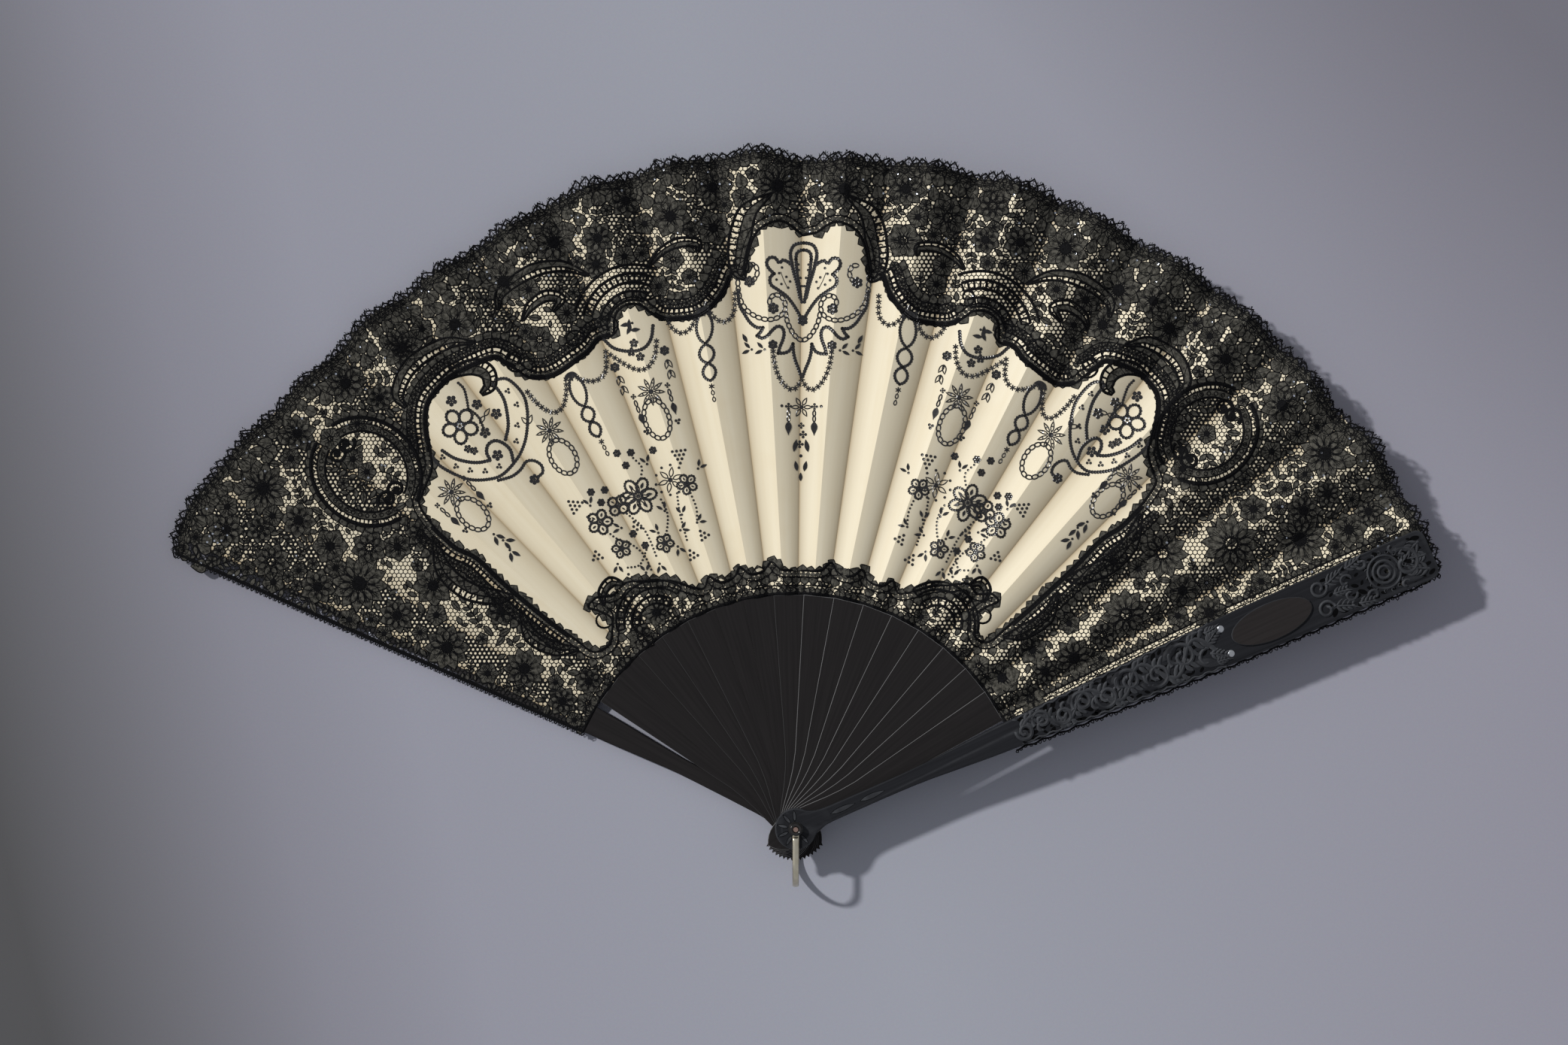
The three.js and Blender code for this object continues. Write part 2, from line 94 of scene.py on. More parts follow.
def new_material(name, **values):
    material = bpy.data.materials.new(name)
    material.use_nodes = True
    shader = material.node_tree.nodes["Principled BSDF"]
    for socket, value in values.items():
        shader.inputs[socket.replace("_", " ")].default_value = value
    return material, material.node_tree.nodes, material.node_tree.links, shader


def node_of(nodes, kind, **values):
    node = nodes.new(kind)
    for key, value in values.items():
        if key in node.inputs:
            node.inputs[key].default_value = value
        else:
            setattr(node, key, value)
    return node


def range_of(nodes, links, value, low, high, to_low=0.0, to_high=1.0):
    span = nodes.new("ShaderNodeMapRange")
    for socket, limit in (("From Min", low), ("From Max", high), ("To Min", to_low), ("To Max", to_high)):
        span.inputs[socket].default_value = limit
    links.new(value, span.inputs["Value"])
    return span.outputs["Result"]


def colour_steps(nodes, *steps):
    ramp = nodes.new("ShaderNodeValToRGB")
    ramp.color_ramp.elements.remove(ramp.color_ramp.elements[1])
    for i, (place, colour) in enumerate(steps):
        stop = ramp.color_ramp.elements[0] if i == 0 else ramp.color_ramp.elements.new(place)
        stop.position = place
        stop.color = (*colour, 1)
    return ramp


paper, nodes, links, shader = new_material("grey lilac paper", Roughness=0.95)
where = node_of(nodes, "ShaderNodeTexCoord")
across = node_of(nodes, "ShaderNodeSeparateXYZ")
links.new(where.outputs["Object"], across.inputs[0])
# Painted light fall-off: the paper's colour is darker towards the left edge and, by the multiply below,
# towards the upper right corner.
painted_light_falloff = colour_steps(nodes, (0, (0.085, 0.085, 0.09)), (0.09, (0.17, 0.17, 0.194)),
                    (0.18, (0.262, 0.262, 0.312)), (0.28, (0.325, 0.329, 0.392)),
                    (0.55, (0.357, 0.37, 0.432)), (1, (0.308, 0.303, 0.365)))
slant = node_of(nodes, "ShaderNodeMath", operation="MULTIPLY_ADD")
slant.inputs[1].default_value = 0.25
links.new(across.outputs["Y"], slant.inputs[0])
links.new(across.outputs["X"], slant.inputs[2])
links.new(range_of(nodes, links, slant.outputs[0], -0.41, 0.41), painted_light_falloff.inputs["Fac"])
sum_of = node_of(nodes, "ShaderNodeMath", operation="ADD")
links.new(across.outputs["X"], sum_of.inputs[0])
links.new(across.outputs["Y"], sum_of.inputs[1])
corner = range_of(nodes, links, sum_of.outputs[0], 0.5, 0.78, 1, 0.6)
corner_painted_dimming = node_of(nodes, "ShaderNodeMix", data_type="RGBA", blend_type="MULTIPLY")
corner_painted_dimming.inputs["Factor"].default_value = 1
links.new(painted_light_falloff.outputs["Color"], corner_painted_dimming.inputs["A"])
links.new(corner, corner_painted_dimming.inputs["B"])
fibre = node_of(nodes, "ShaderNodeTexNoise", Scale=900, Detail=4)
links.new(where.outputs["Object"], fibre.inputs["Vector"])
mottle = node_of(nodes, "ShaderNodeMix", data_type="RGBA", blend_type="MULTIPLY")
mottle.inputs["Factor"].default_value = 0.12
links.new(corner_painted_dimming.outputs["Result"], mottle.inputs["A"])
links.new(fibre.outputs["Color"], mottle.inputs["B"])
links.new(mottle.outputs["Result"], shader.inputs["Base Color"])
bpy.ops.mesh.primitive_plane_add(size=12, location=(0, 0.15, -0.0003))
ground = bpy.context.object
ground.name = "paper_ground"
bpy.ops.object.transform_apply(location=True, rotation=True, scale=True)
ground.data.materials.append(paper)
bpy.ops.object.select_all(action="DESELECT")

# Inner sticks
# Sixteen blades of black ebony, sawn thin, with wide plates in the gorge and narrow ribs
# behind the leaf. Their bevelled edges are coloured lighter as a painted highlight: grey on the
# right-hand ones, faint on the left-hand ones.
edge_wear = bpy.data.node_groups.new("rubbed edges", "ShaderNodeTree")
edge_wear.interface.new_socket("Amount", in_out="INPUT", socket_type="NodeSocketFloat")
edge_wear.interface.new_socket("Mask", in_out="OUTPUT", socket_type="NodeSocketFloat")
inside = edge_wear.nodes
inlet, outlet = inside.new("NodeGroupInput"), inside.new("NodeGroupOutput")
shape = inside.new("ShaderNodeNewGeometry")
sharp = range_of(inside, edge_wear.links, shape.outputs["Pointiness"], 0.52, 0.62)
patchy = node_of(inside, "ShaderNodeTexNoise", Scale=160, Detail=3)
spot = node_of(inside, "ShaderNodeTexCoord")
edge_wear.links.new(spot.outputs["Object"], patchy.inputs["Vector"])
thin = node_of(inside, "ShaderNodeMath", operation="MULTIPLY")
edge_wear.links.new(sharp, thin.inputs[0])
edge_wear.links.new(patchy.outputs["Fac"], thin.inputs[1])
scaled = node_of(inside, "ShaderNodeMath", operation="MULTIPLY", use_clamp=True)
edge_wear.links.new(thin.outputs[0], scaled.inputs[0])
edge_wear.links.new(inlet.outputs["Amount"], scaled.inputs[1])
edge_wear.links.new(scaled.outputs[0], outlet.inputs["Mask"])


def stretched_noise(nodes, links, place, scale, detail):
    stretch = node_of(nodes, "ShaderNodeMapping")
    stretch.inputs["Scale"].default_value = scale
    links.new(place, stretch.inputs["Vector"])
    noise = node_of(nodes, "ShaderNodeTexNoise", Scale=1, Detail=detail)
    links.new(stretch.outputs["Vector"], noise.inputs["Vector"])
    return noise.outputs["Fac"]


wood_grain = bpy.data.node_groups.new("wood grain", "ShaderNodeTree")
wood_grain.interface.new_socket("Along", in_out="INPUT", socket_type="NodeSocketVector")
wood_grain.interface.new_socket("Shade", in_out="OUTPUT", socket_type="NodeSocketFloat")
wood_grain.interface.new_socket("Pores", in_out="OUTPUT", socket_type="NodeSocketFloat")
inside = wood_grain.nodes
inlet, outlet = inside.new("NodeGroupInput"), inside.new("NodeGroupOutput")
for socket, scale, detail in (("Shade", (900, 22, 1), 5), ("Pores", (3500, 160, 1), 3)):
    streaks = stretched_noise(inside, wood_grain.links, inlet.outputs["Along"], scale, detail)
    wood_grain.links.new(streaks, outlet.inputs[socket])

pleat_relief = bpy.data.node_groups.new("pleat relief", "ShaderNodeTree")
pleat_relief.interface.new_socket("Normal", in_out="OUTPUT", socket_type="NodeSocketVector")
inside = pleat_relief.nodes
outlet = inside.new("NodeGroupOutput")
sunk = node_of(inside, "ShaderNodeAttribute", attribute_name="pleat")
slope = node_of(inside, "ShaderNodeBump", Strength=1.0, Distance=1.0)
pleat_relief.links.new(sunk.outputs["Fac"], slope.inputs["Height"])
pleat_relief.links.new(slope.outputs["Normal"], outlet.inputs["Normal"])


def group_of(nodes, group):
    node = nodes.new("ShaderNodeGroup")
    node.node_tree = group
    return node


def mix_of(nodes, links, factor, a, b):
    mix = node_of(nodes, "ShaderNodeMix", data_type="RGBA")
    for socket, value in (("Factor", factor), ("A", a), ("B", b)):
        if isinstance(value, bpy.types.NodeSocket):
            links.new(value, mix.inputs[socket])
        elif socket == "Factor":
            mix.inputs[0].default_value = value
        else:
            mix.inputs[socket].default_value = (*value, 1)
    return mix.outputs["Result"]


def bump_of(nodes, links, shader, height, strength, distance):
    bump = node_of(nodes, "ShaderNodeBump", Strength=strength, Distance=distance)
    links.new(height, bump.inputs["Height"])
    links.new(bump.outputs["Normal"], shader.inputs["Normal"])


def make_ebony(name, dark, light, worn, rough, wear, pore_depth):
    material, nodes, links, shader = new_material(name)
    along = node_of(nodes, "ShaderNodeUVMap", uv_map="grain")
    grain = group_of(nodes, wood_grain)
    links.new(along.outputs["UV"], grain.inputs["Along"])
    tone = mix_of(nodes, links, grain.outputs["Shade"], dark, light)
    rubbed = group_of(nodes, edge_wear)
    rubbed.inputs["Amount"].default_value = wear
    links.new(mix_of(nodes, links, rubbed.outputs["Mask"], tone, worn), shader.inputs["Base Color"])
    gloss = range_of(nodes, links, grain.outputs["Shade"], 0, 1, rough + 0.1, rough - 0.12)
    links.new(gloss, shader.inputs["Roughness"])
    bump_of(nodes, links, shader, grain.outputs["Pores"], 0.5, pore_depth)
    shader.inputs["Specular IOR Level"].default_value = 0.045
    return material


ebony = make_ebony("rubbed ebony", (0.0105, 0.0098, 0.0102), (0.0225, 0.0206, 0.021), (0.06, 0.06, 0.062),
                   0.6, 0.0, 4e-5)
# Lighter colours for the bevels of the sticks: a painted highlight along their edges, grey on the right-hand
# sticks and faint on the left-hand ones.
edge_painted_highlight = make_ebony("edge painted highlight grey", (0.1, 0.1, 0.103), (0.2, 0.2, 0.203), (0.2, 0.2, 0.2), 0.5, 0.0,
                       4e-5)
edge_faint_painted_highlight = make_ebony("edge faint painted highlight", (0.028, 0.028, 0.029), (0.06, 0.06, 0.062), (0.06, 0.06, 0.06),
                       0.5, 0.0, 4e-5)


def pick(piece):
    bpy.ops.object.select_all(action="DESELECT")
    bpy.context.view_layer.objects.active = piece
    piece.select_set(True)


def worked_copy(node, name, bevel, material, bearing, edge_material=None):
    """A merged copy of a CAD solid with softened edges and a grain map along its length."""
    source = frame["nodes"][node]
    body = source["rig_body"]
    copy = bpy.data.objects.new(name, source.data.copy())
    scene.collection.objects.link(copy)
    pick(copy)
    bpy.ops.object.mode_set(mode="EDIT")
    bpy.ops.mesh.select_all(action="SELECT")
    bpy.ops.mesh.remove_doubles(threshold=1e-6)
    bpy.ops.mesh.dissolve_limited(angle_limit=math.radians(1))
    bpy.ops.object.mode_set(mode="OBJECT")
    copy.data.materials.clear()
    copy.data.materials.append(material)
    if bevel:
        soften = copy.modifiers.new("softened edges", "BEVEL")
        soften.width = bevel
        soften.segments = 3 if bevel > 0.0003 else 2
        if edge_material:
            copy.data.materials.append(edge_material)
            soften.material = 1
        soften.limit_method = "ANGLE"
        soften.angle_limit = math.radians(35)
        soften.use_clamp_overlap = True
        bpy.ops.object.modifier_apply(modifier=soften.name)
    bpy.ops.object.shade_smooth_by_angle(angle=math.radians(20))
    for layer in list(copy.data.uv_layers):
        copy.data.uv_layers.remove(layer)
    grain = copy.data.uv_layers.new(name="grain")
    lean = math.radians(bearing)
    shift = (bearing * 0.37) % 1  # so that no two sticks show the same grain
    for loop in copy.data.loops:
        x, y, z = copy.data.vertices[loop.vertex_index].co
        across, along = x * math.cos(lean) - y * math.sin(lean), x * math.sin(lean) + y * math.cos(lean)
        grain.data[loop.index].uv = (across + z, along + shift)
    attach(copy, body)
    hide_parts(node)
    return copy


def lie_of(node):
    """The bearing of a long CAD piece, from the middle of the far end of its box."""
    spots = np.array([v.co[:] for v in frame["nodes"][node].data.vertices])
    reach = np.hypot(spots[:, 0], spots[:, 1])
    tip = spots[reach > reach.max() * 0.9].mean(axis=0)
    return math.degrees(math.atan2(tip[0], tip[1]))


def head_tip(stick, bearing):
    """The short point that ends a stick below the rivet; side by side they make the toothed edge."""
    root, point, half_wide, inset = -0.0012, 0.0009, 0.0013, 0.00005
    lean = math.radians(bearing)
    head = [v.co for v in stick.data.vertices if math.hypot(v.co.x, v.co.y) < 0.03]
    reach = max(-v.x * math.sin(lean) - v.y * math.cos(lean) for v in head)
    low, high = min(v.z for v in head) + inset, max(v.z for v in head) - inset
    spots = []
    for z in (low, high):
        for out, aside in ((root, -half_wide), (point, 0), (root, half_wide)):
            x = -(reach + out) * math.sin(lean) + aside * math.cos(lean)
            y = -(reach + out) * math.cos(lean) - aside * math.sin(lean)
            spots.append((x, y, z))
    mesh = bpy.data.meshes.new("head_tip")
    mesh.from_pydata(spots, [], [(0, 2, 1), (3, 4, 5), (0, 1, 4, 3), (1, 2, 5, 4), (2, 0, 3, 5)])
    mesh.update()
    grain = mesh.uv_layers.new(name="grain")
    for loop in mesh.loops:
        grain.data[loop.index].uv = mesh.vertices[loop.vertex_index].co[:2]
    mesh.materials.append(ebony)
    tip = bpy.data.objects.new(stick.name.replace("stick", "head_tip"), mesh)
    scene.collection.objects.link(tip)
    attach(tip, stick["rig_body"])


stick_count, last_faint_highlight_stick, stick_bevel = 16, 8, 0.0002
for k in range(1, stick_count + 1):
    lie = lie_of(f"stick_{k:02d}")
    edge = edge_painted_highlight if k > last_faint_highlight_stick else edge_faint_painted_highlight
    blade = worked_copy(f"stick_{k:02d}", f"ebony_stick_{k:02d}", stick_bevel, ebony, lie, edge)
    head_tip(blade, lie)

# Guards
# The back guard is plain ebony. The front one is carved with scrolls and leaves round a bare
# oval and pierced near its tip. Near-black patches between the scrolls are painted shade in its hollows.
carved = make_ebony("carved ebony", (0.0092, 0.0096, 0.0112), (0.0225, 0.0235, 0.0275),
                    (0.078, 0.082, 0.09), 0.5, 1.5, 5e-5)
worked_copy("back_guard", "plain_back_guard", 0.0, ebony, lie_of("back_guard"))
worked_copy("front_guard", "carved_front_guard", 0.0, carved, lie_of("front_guard"))
guard_bearing, guard_face, relief_root = 66.4, 26.6, 0.12
relief_spots, relief_faces = [], []


def guard_half_width(along):
    """Half the front guard's width at a distance from the rivet, in millimetres."""
    return np.interp(along, [100, 120, 180, 230, 300, 350], [6.5, 7.2, 10.1, 11.9, 12.9, 13])


def on_guard(points):
    """Points given as (along, across) on the front guard's face, in millimetres."""
    lean = math.radians(guard_bearing)
    u, v = np.asarray(points, float).T
    return np.stack([u * math.sin(lean) + v * math.cos(lean), u * math.cos(lean) - v * math.sin(lean)],
                    axis=1)


def ridge(points, widths, rise):
    """A carved ridge with rounded shoulders that dies out at both ends."""
    line = np.asarray(points, float)
    share = np.linspace(0, 1, len(line))
    half = np.interp(share, np.linspace(0, 1, len(widths)), widths)[:, None] / 2
    way = np.gradient(line, axis=0)
    way = way / np.maximum(np.hypot(way[:, 0], way[:, 1]), 1e-6)[:, None]
    aside = np.stack([-way[:, 1], way[:, 0]], axis=1) * half
    high = rise * np.minimum(1, np.minimum(share, 1 - share) * 8)
    start, rows = len(relief_spots), ((-1, -0.1), (-0.55, 0.75), (0, 1), (0.55, 0.75), (1, -0.1))
    for j in range(len(line)):
        for side_way, level in rows:
            x, y = on_guard([line[j] + aside[j] * side_way])[0]
            z = guard_face - relief_root + (relief_root + high[j]) * max(level, 0)
            relief_spots.append((x / 1000, y / 1000, z / 1000))
    for j in range(len(line) - 1):
        a = start + 5 * j
        relief_faces.extend([(a + i, a + i + 1, a + i + 6, a + i + 5) for i in range(4)])
        relief_faces.append((a, a + 5, a + 9, a + 4))
    past_end = start + 5 * len(line)
    relief_faces.extend([tuple(range(start + 4, start - 1, -1)), tuple(range(past_end - 5, past_end))])


def curl(u, v, radius, start, turns, hand, width=1.5, rise=0.8):
    """A carved volute that winds in to about a fifth of its radius."""
    share = np.linspace(0, 1, int(16 * abs(turns)) + 4)
    angle = np.radians(start) + hand * 2 * math.pi * turns * share
    reach = radius * (1 - 0.78 * share)
    line = np.stack([u + reach * np.cos(angle), v + reach * np.sin(angle)], axis=1)
    ridge(line, (width * 0.7, width, width * 0.6), rise)


def acanthus(u, v, length, lean, hand, lobes=4, rise=0.8):
    """A leaf of curved lobes that lean off one rib."""
    angle = math.radians(lean)
    along = np.array([math.cos(angle), math.sin(angle)])
    across = np.array([-math.sin(angle), math.cos(angle)])
    share = np.linspace(0, 1, 12)[:, None]
    rib = np.array([u, v]) + along * length * share + across * hand * length * 0.18 * share ** 2
    ridge(rib, (1.6, 1.2, 0.6), rise)
    for j in range(lobes):
        root = np.array([u, v]) + along * length * (0.08 + 0.2 * j)
        reach = length * (0.42 - 0.06 * j)
        for side_way in (-1, 1):
            swing = np.sin(share * math.pi / 2)
            line = root + along * reach * 0.75 * share + across * side_way * reach * 0.6 * swing
            ridge(line, (0.9, 1.9, 1.2, 0.5), rise * 0.8)


# Seven scrolls with leafy lobes up the stem, each turned the other way from the one before
carving_start, narrow_half, widening = 120, 7.2, 0.047
for k, u in enumerate(range(124, 226, 15)):
    hand = 1 if k % 2 else -1
    half_wide = narrow_half + (u - carving_start) * widening
    share = np.linspace(0, 1, 26)
    wave = hand * half_wide * 0.62 * np.sin(share * math.pi * 1.35 - 0.6)
    stem = np.stack([u - 3 + 21 * share, wave], axis=1)
    ridge(stem, (1.4, 2.6, 2.4, 1.2), 1.0)
    curl(u + 11, -hand * half_wide * 0.4, half_wide * 0.5, 60 * hand, 0.6, hand, 2.3, 1.0)
    for j in range(5):
        root = stem[4 + 4 * j]
        for side_way in (-1, 1):
            reach = half_wide * (0.62 - 0.05 * j)
            lobe = side_way * reach * np.sin(share[::3] * 1.5)
            line = root + np.stack([reach * share[::3] * 0.8, lobe], axis=1)
            line[:, 1] = np.clip(line[:, 1], -half_wide * 0.86, half_wide * 0.86)
            ridge(line, (1.0, 2.7, 2.0, 0.7), 0.7 + 0.12 * (j % 3))

# Leaves at both ends of the oval and at the tip, curls between them, a rosette of three rings
guard_leaves = ((227, 2.5, 11, 26, 1), (227, -2.5, 11, -26, -1), (228, 8, 9, 0, 1), (228, -8, 9, 0, -1),
                (294, 6, 13, 14, 1), (294, -6, 13, -14, -1), (296, 0, 10, 0, 1),
                (306, 9.5, 11, 8, 1), (306, -9.5, 11, -8, -1),
                (346, 7.5, 14, 200, 1), (346, -7.5, 14, 160, -1), (347, 0, 10, 180, 1))
for u, v, length, lean, hand in guard_leaves:
    acanthus(u, v, length, lean, hand, 4, 0.95)
guard_curls = ((304, 3.6, 3.6, 0, 0.9, 1), (304, -3.6, 3.6, 0, 0.9, -1),
               (315, 8.6, 3.2, 180, 0.8, 1), (315, -8.6, 3.2, 180, 0.8, -1),
               (338, 4.6, 3.4, 180, 0.8, -1), (338, -4.6, 3.4, 180, 0.8, 1),
               (332, 10, 2.6, 0, 0.8, -1), (332, -10, 2.6, 0, 0.8, 1))
for u, v, radius, start, turns, hand in guard_curls:
    curl(u, v, radius, start, turns, hand, 2.1, 0.95)
rosette_at = 324
ring = np.linspace(0, 2 * math.pi, 33)
for reach, width in ((8.4, 1.4), (5.6, 1.8), (3.0, 1.6)):
    ridge(np.stack([rosette_at + reach * np.cos(ring), reach * np.sin(ring)], axis=1), (width, width), 0.9)
for j in range(16):
    angle = j * math.pi / 8
    u, v = rosette_at + 1 + 9.6 * math.cos(angle), 9.6 * math.sin(angle)
    curl(u, v, 1.3, math.degrees(angle), 0.8, 1, 0.8, 0.6)
for side_way in (-1, 1):
    share = np.linspace(0, 1, 60)
    u = carving_start + 2 + 110 * share
    wavy_edge = narrow_half - 1 + (u - carving_start) * widening + 0.5 * np.sin(u * 0.9)
    ridge(np.stack([u, side_way * wavy_edge], axis=1), (1.0, 1.0), 0.55)

# Near-black patches between the scrolls, as painted shade in the hollows, and the oval's own polish
hollow_spots, hollow_faces, hollow_kinds = [], [], []
painted_shade_patch, polished, half_patch = 0, 1, 0.03


def sunk_patch(outline, level, kind):
    start, n = len(hollow_spots), len(outline)
    for z in (level - half_patch, level + half_patch):
        hollow_spots.extend((x / 1000, y / 1000, (guard_face + z) / 1000) for x, y in on_guard(outline))
    hollow_faces.extend([tuple(range(start, start + n)), tuple(range(start + 2 * n - 1, start + n - 1, -1))])
    hollow_faces.extend((start + n + j, start + n + (j + 1) % n, start + (j + 1) % n, start + j)
                        for j in range(n))
    hollow_kinds.extend([kind] * (n + 2))


chisel = random.Random(5)
plain_from, plain_to = 231, 293
pierced_holes, hole_margin = ((329.6, -8.5), (325.2, 0), (329.6, 8.5)), 3.4
around = np.linspace(0, 2 * math.pi, 12, endpoint=False)
for u in np.arange(126, 347, 4.3):
    half_wide = float(guard_half_width(u))
    if plain_from < u < plain_to:
        continue
    for share in (-0.72, -0.36, 0.02, 0.38, 0.74):
        at = np.array([u + chisel.uniform(-1.2, 1.2), share * half_wide + chisel.uniform(-0.6, 0.6)])
        if min(math.hypot(at[0] - hole_u, at[1] - hole_v) for hole_u, hole_v in pierced_holes) < hole_margin:
            continue
        turn, long_half = chisel.uniform(-0.9, 0.9), chisel.uniform(1.3, 2.5)
        lens = np.stack([long_half * np.cos(around), long_half * 0.5 * np.sin(around)], axis=1)
        way = np.array([[math.cos(turn), math.sin(turn)], [-math.sin(turn), math.cos(turn)]])
        sunk_patch(at + lens @ way, half_patch, painted_shade_patch)
oval_at, oval_half_long, oval_half_wide, oval_height = 262, 21.5, 9.0, 1.13
around = np.linspace(0, 2 * math.pi, 48, endpoint=False)
oval = np.stack([oval_at + oval_half_long * np.cos(around), oval_half_wide * np.sin(around)], axis=1)
sunk_patch(oval, oval_height, polished)
hollow_mesh = bpy.data.meshes.new("guard_hollows")
hollow_mesh.from_pydata(hollow_spots, [], hollow_faces)
hollow_mesh.polygons.foreach_set("material_index", hollow_kinds)
hollow_mesh.update()
grain = hollow_mesh.uv_layers.new(name="grain")
for loop in hollow_mesh.loops:
    x, y, z = hollow_mesh.vertices[loop.vertex_index].co
    lean = math.radians(guard_bearing)
    across, along = x * math.cos(lean) - y * math.sin(lean), x * math.sin(lean) + y * math.cos(lean)
    grain.data[loop.index].uv = (across, along)
# Near-black ebony for the patches between the scrolls: painted shade in the carving's hollows.
painted_hollow_shade = make_ebony("unpolished hollow", (0.001, 0.001, 0.0012), (0.003, 0.003, 0.0034),
                          (0.004, 0.004, 0.004), 0.8, 0.0, 5e-5)
oval_brown = make_ebony("polished oval", (0.0155, 0.0138, 0.0138), (0.031, 0.0277, 0.0277),
                        (0.02, 0.02, 0.022), 0.5, 0.0, 5e-5)
hollow_mesh.materials.append(painted_hollow_shade)
hollow_mesh.materials.append(oval_brown)
hollows = bpy.data.objects.new("guard_hollows", hollow_mesh)
scene.collection.objects.link(hollows)
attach(hollows, frame["nodes"]["front_guard"]["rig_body"])

relief_mesh = bpy.data.meshes.new("guard_relief")
relief_mesh.from_pydata(relief_spots, [], relief_faces)
relief_mesh.update()
relief = bpy.data.objects.new("guard_relief", relief_mesh)
scene.collection.objects.link(relief)
pick(relief)
bpy.ops.object.mode_set(mode="EDIT")
bpy.ops.mesh.select_all(action="SELECT")
bpy.ops.mesh.normals_make_consistent(inside=False)
bpy.ops.object.mode_set(mode="OBJECT")
bpy.ops.object.shade_smooth_by_angle(angle=math.radians(50))
grain = relief_mesh.uv_layers.new(name="grain")
for loop in relief_mesh.loops:
    x, y, z = relief_mesh.vertices[loop.vertex_index].co
    grain.data[loop.index].uv = (x + z, y)
relief_mesh.materials.append(carved)
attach(relief, frame["nodes"]["front_guard"]["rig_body"])

# Rivet, collar, bail and studs
# A copper-coloured rivet holds the stack, with a polished black collar under its front end.
# The bail is a strip of yellowed nickel silver, and two silvered studs flank the bare oval.


def make_metal(name, colour, stain, rough):
    material, nodes, links, shader = new_material(name, Metallic=1.0)
    spot = node_of(nodes, "ShaderNodeTexCoord")
    blotch = node_of(nodes, "ShaderNodeTexNoise", Scale=240, Detail=5)
    links.new(spot.outputs["Object"], blotch.inputs["Vector"])
    links.new(mix_of(nodes, links, blotch.outputs["Fac"], colour, stain), shader.inputs["Base Color"])
    scratch = node_of(nodes, "ShaderNodeTexNoise", Scale=2600, Detail=2)
    links.new(spot.outputs["Object"], scratch.inputs["Vector"])
    gloss = range_of(nodes, links, blotch.outputs["Fac"], 0, 1, rough - 0.08, rough + 0.16)
    links.new(gloss, shader.inputs["Roughness"])
    bump_of(nodes, links, shader, scratch.outputs["Fac"], 0.25, 2e-5)
    return material


copper = make_metal("rubbed copper", (0.52, 0.36, 0.3), (0.3, 0.2, 0.17), 0.34)
nickel = make_metal("yellowed nickel silver", (0.84, 0.8, 0.68), (0.5, 0.44, 0.3), 0.26)
silvered = make_metal("silvered stud", (0.7, 0.72, 0.75), (0.35, 0.36, 0.38), 0.28)


def pattern_of(nodes, links, kind, **values):
    """A texture node that reads the piece's own coordinates."""
    spot = node_of(nodes, "ShaderNodeTexCoord")
    pattern = node_of(nodes, kind, **values)
    links.new(spot.outputs["Object"], pattern.inputs["Vector"])
    return pattern


horn, nodes, links, shader = new_material("polished black horn", Roughness=0.14)
cloud = pattern_of(nodes, links, "ShaderNodeTexNoise", Scale=500, Detail=3)
clouded = mix_of(nodes, links, cloud.outputs["Fac"], (0.004, 0.004, 0.005), (0.02, 0.018, 0.017))
links.new(clouded, shader.inputs["Base Color"])
worked_copy("rivet_pin", "copper_rivet", 0.0, copper, 0)
worked_copy("front_collar", "horn_collar", 0.0, horn, 0)
worked_copy("front_washer", "horn_washer", 0.0, horn, 0)
worked_copy("bail", "nickel_bail", 0.00045, nickel, 0)
bpy.ops.mesh.primitive_torus_add(major_radius=0.0023, minor_radius=0.00075, location=(0, 0, 0.02955),
                                 major_segments=40, minor_segments=14)
rolled_ring = bpy.context.object
rolled_ring.name = "horn_rolled_ring"
bpy.ops.object.transform_apply(location=True, rotation=True, scale=True)
bpy.ops.object.shade_smooth()
rolled_ring.data.materials.append(horn)
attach(rolled_ring, frame["nodes"]["front_collar"]["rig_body"])

# The strip's outer face is half round: straight down from the eye, then round the end of the loop
strip_half_wide, crown_root, crown_rise = 1.58, 0.05, 0.55
loop_middle, loop_half_high, loop_reach, loop_y = 14.55, 13.55, 12, -18
bend = np.linspace(0, 2.7, 22)
spine = [(y, loop_middle + loop_half_high, 0, 1) for y in np.linspace(-3.7, loop_y + 0.5, 8)]
spine += [(loop_y - loop_reach * math.sin(t), loop_middle + loop_half_high * math.cos(t), -math.sin(t),
           math.cos(t)) for t in bend]
crown_spots, crown_faces, ribs_across = [], [], 9
for j, (y, z, out_y, out_z) in enumerate(spine):
    full = min(1.0, 0.3 + 0.35 * j)
    for across in np.linspace(-1, 1, ribs_across):
        rise = -crown_root + crown_rise * full * math.sqrt(max(0.0, 1 - across ** 2))
        x = strip_half_wide * across
        crown_spots.append((x / 1000, (y + out_y * rise) / 1000, (z + out_z * rise) / 1000))
for j in range(len(spine) - 1):
    left, right = j * ribs_across, (j + 1) * ribs_across - 1
    crown_faces.append((right, right + ribs_across, left + ribs_across, left))
    for a in range(left, right):
        crown_faces.append((a, a + ribs_across, a + ribs_across + 1, a + 1))
last_spot = len(crown_spots) - 1
crown_faces += [tuple(range(ribs_across)), tuple(range(last_spot, last_spot - ribs_across, -1))]
crown_mesh = bpy.data.meshes.new("bail_crown")
crown_mesh.from_pydata(crown_spots, [], crown_faces)
crown_mesh.update()
crown_mesh.shade_smooth()
crown_mesh.materials.append(nickel)
crown = bpy.data.objects.new("bail_crown", crown_mesh)
scene.collection.objects.link(crown)
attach(crown, frame["nodes"]["bail"]["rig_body"])
worked_copy("left_stud", "left_silver_stud", 0.0, silvered, 0)
worked_copy("right_stud", "right_silver_stud", 0.0, silvered, 0)

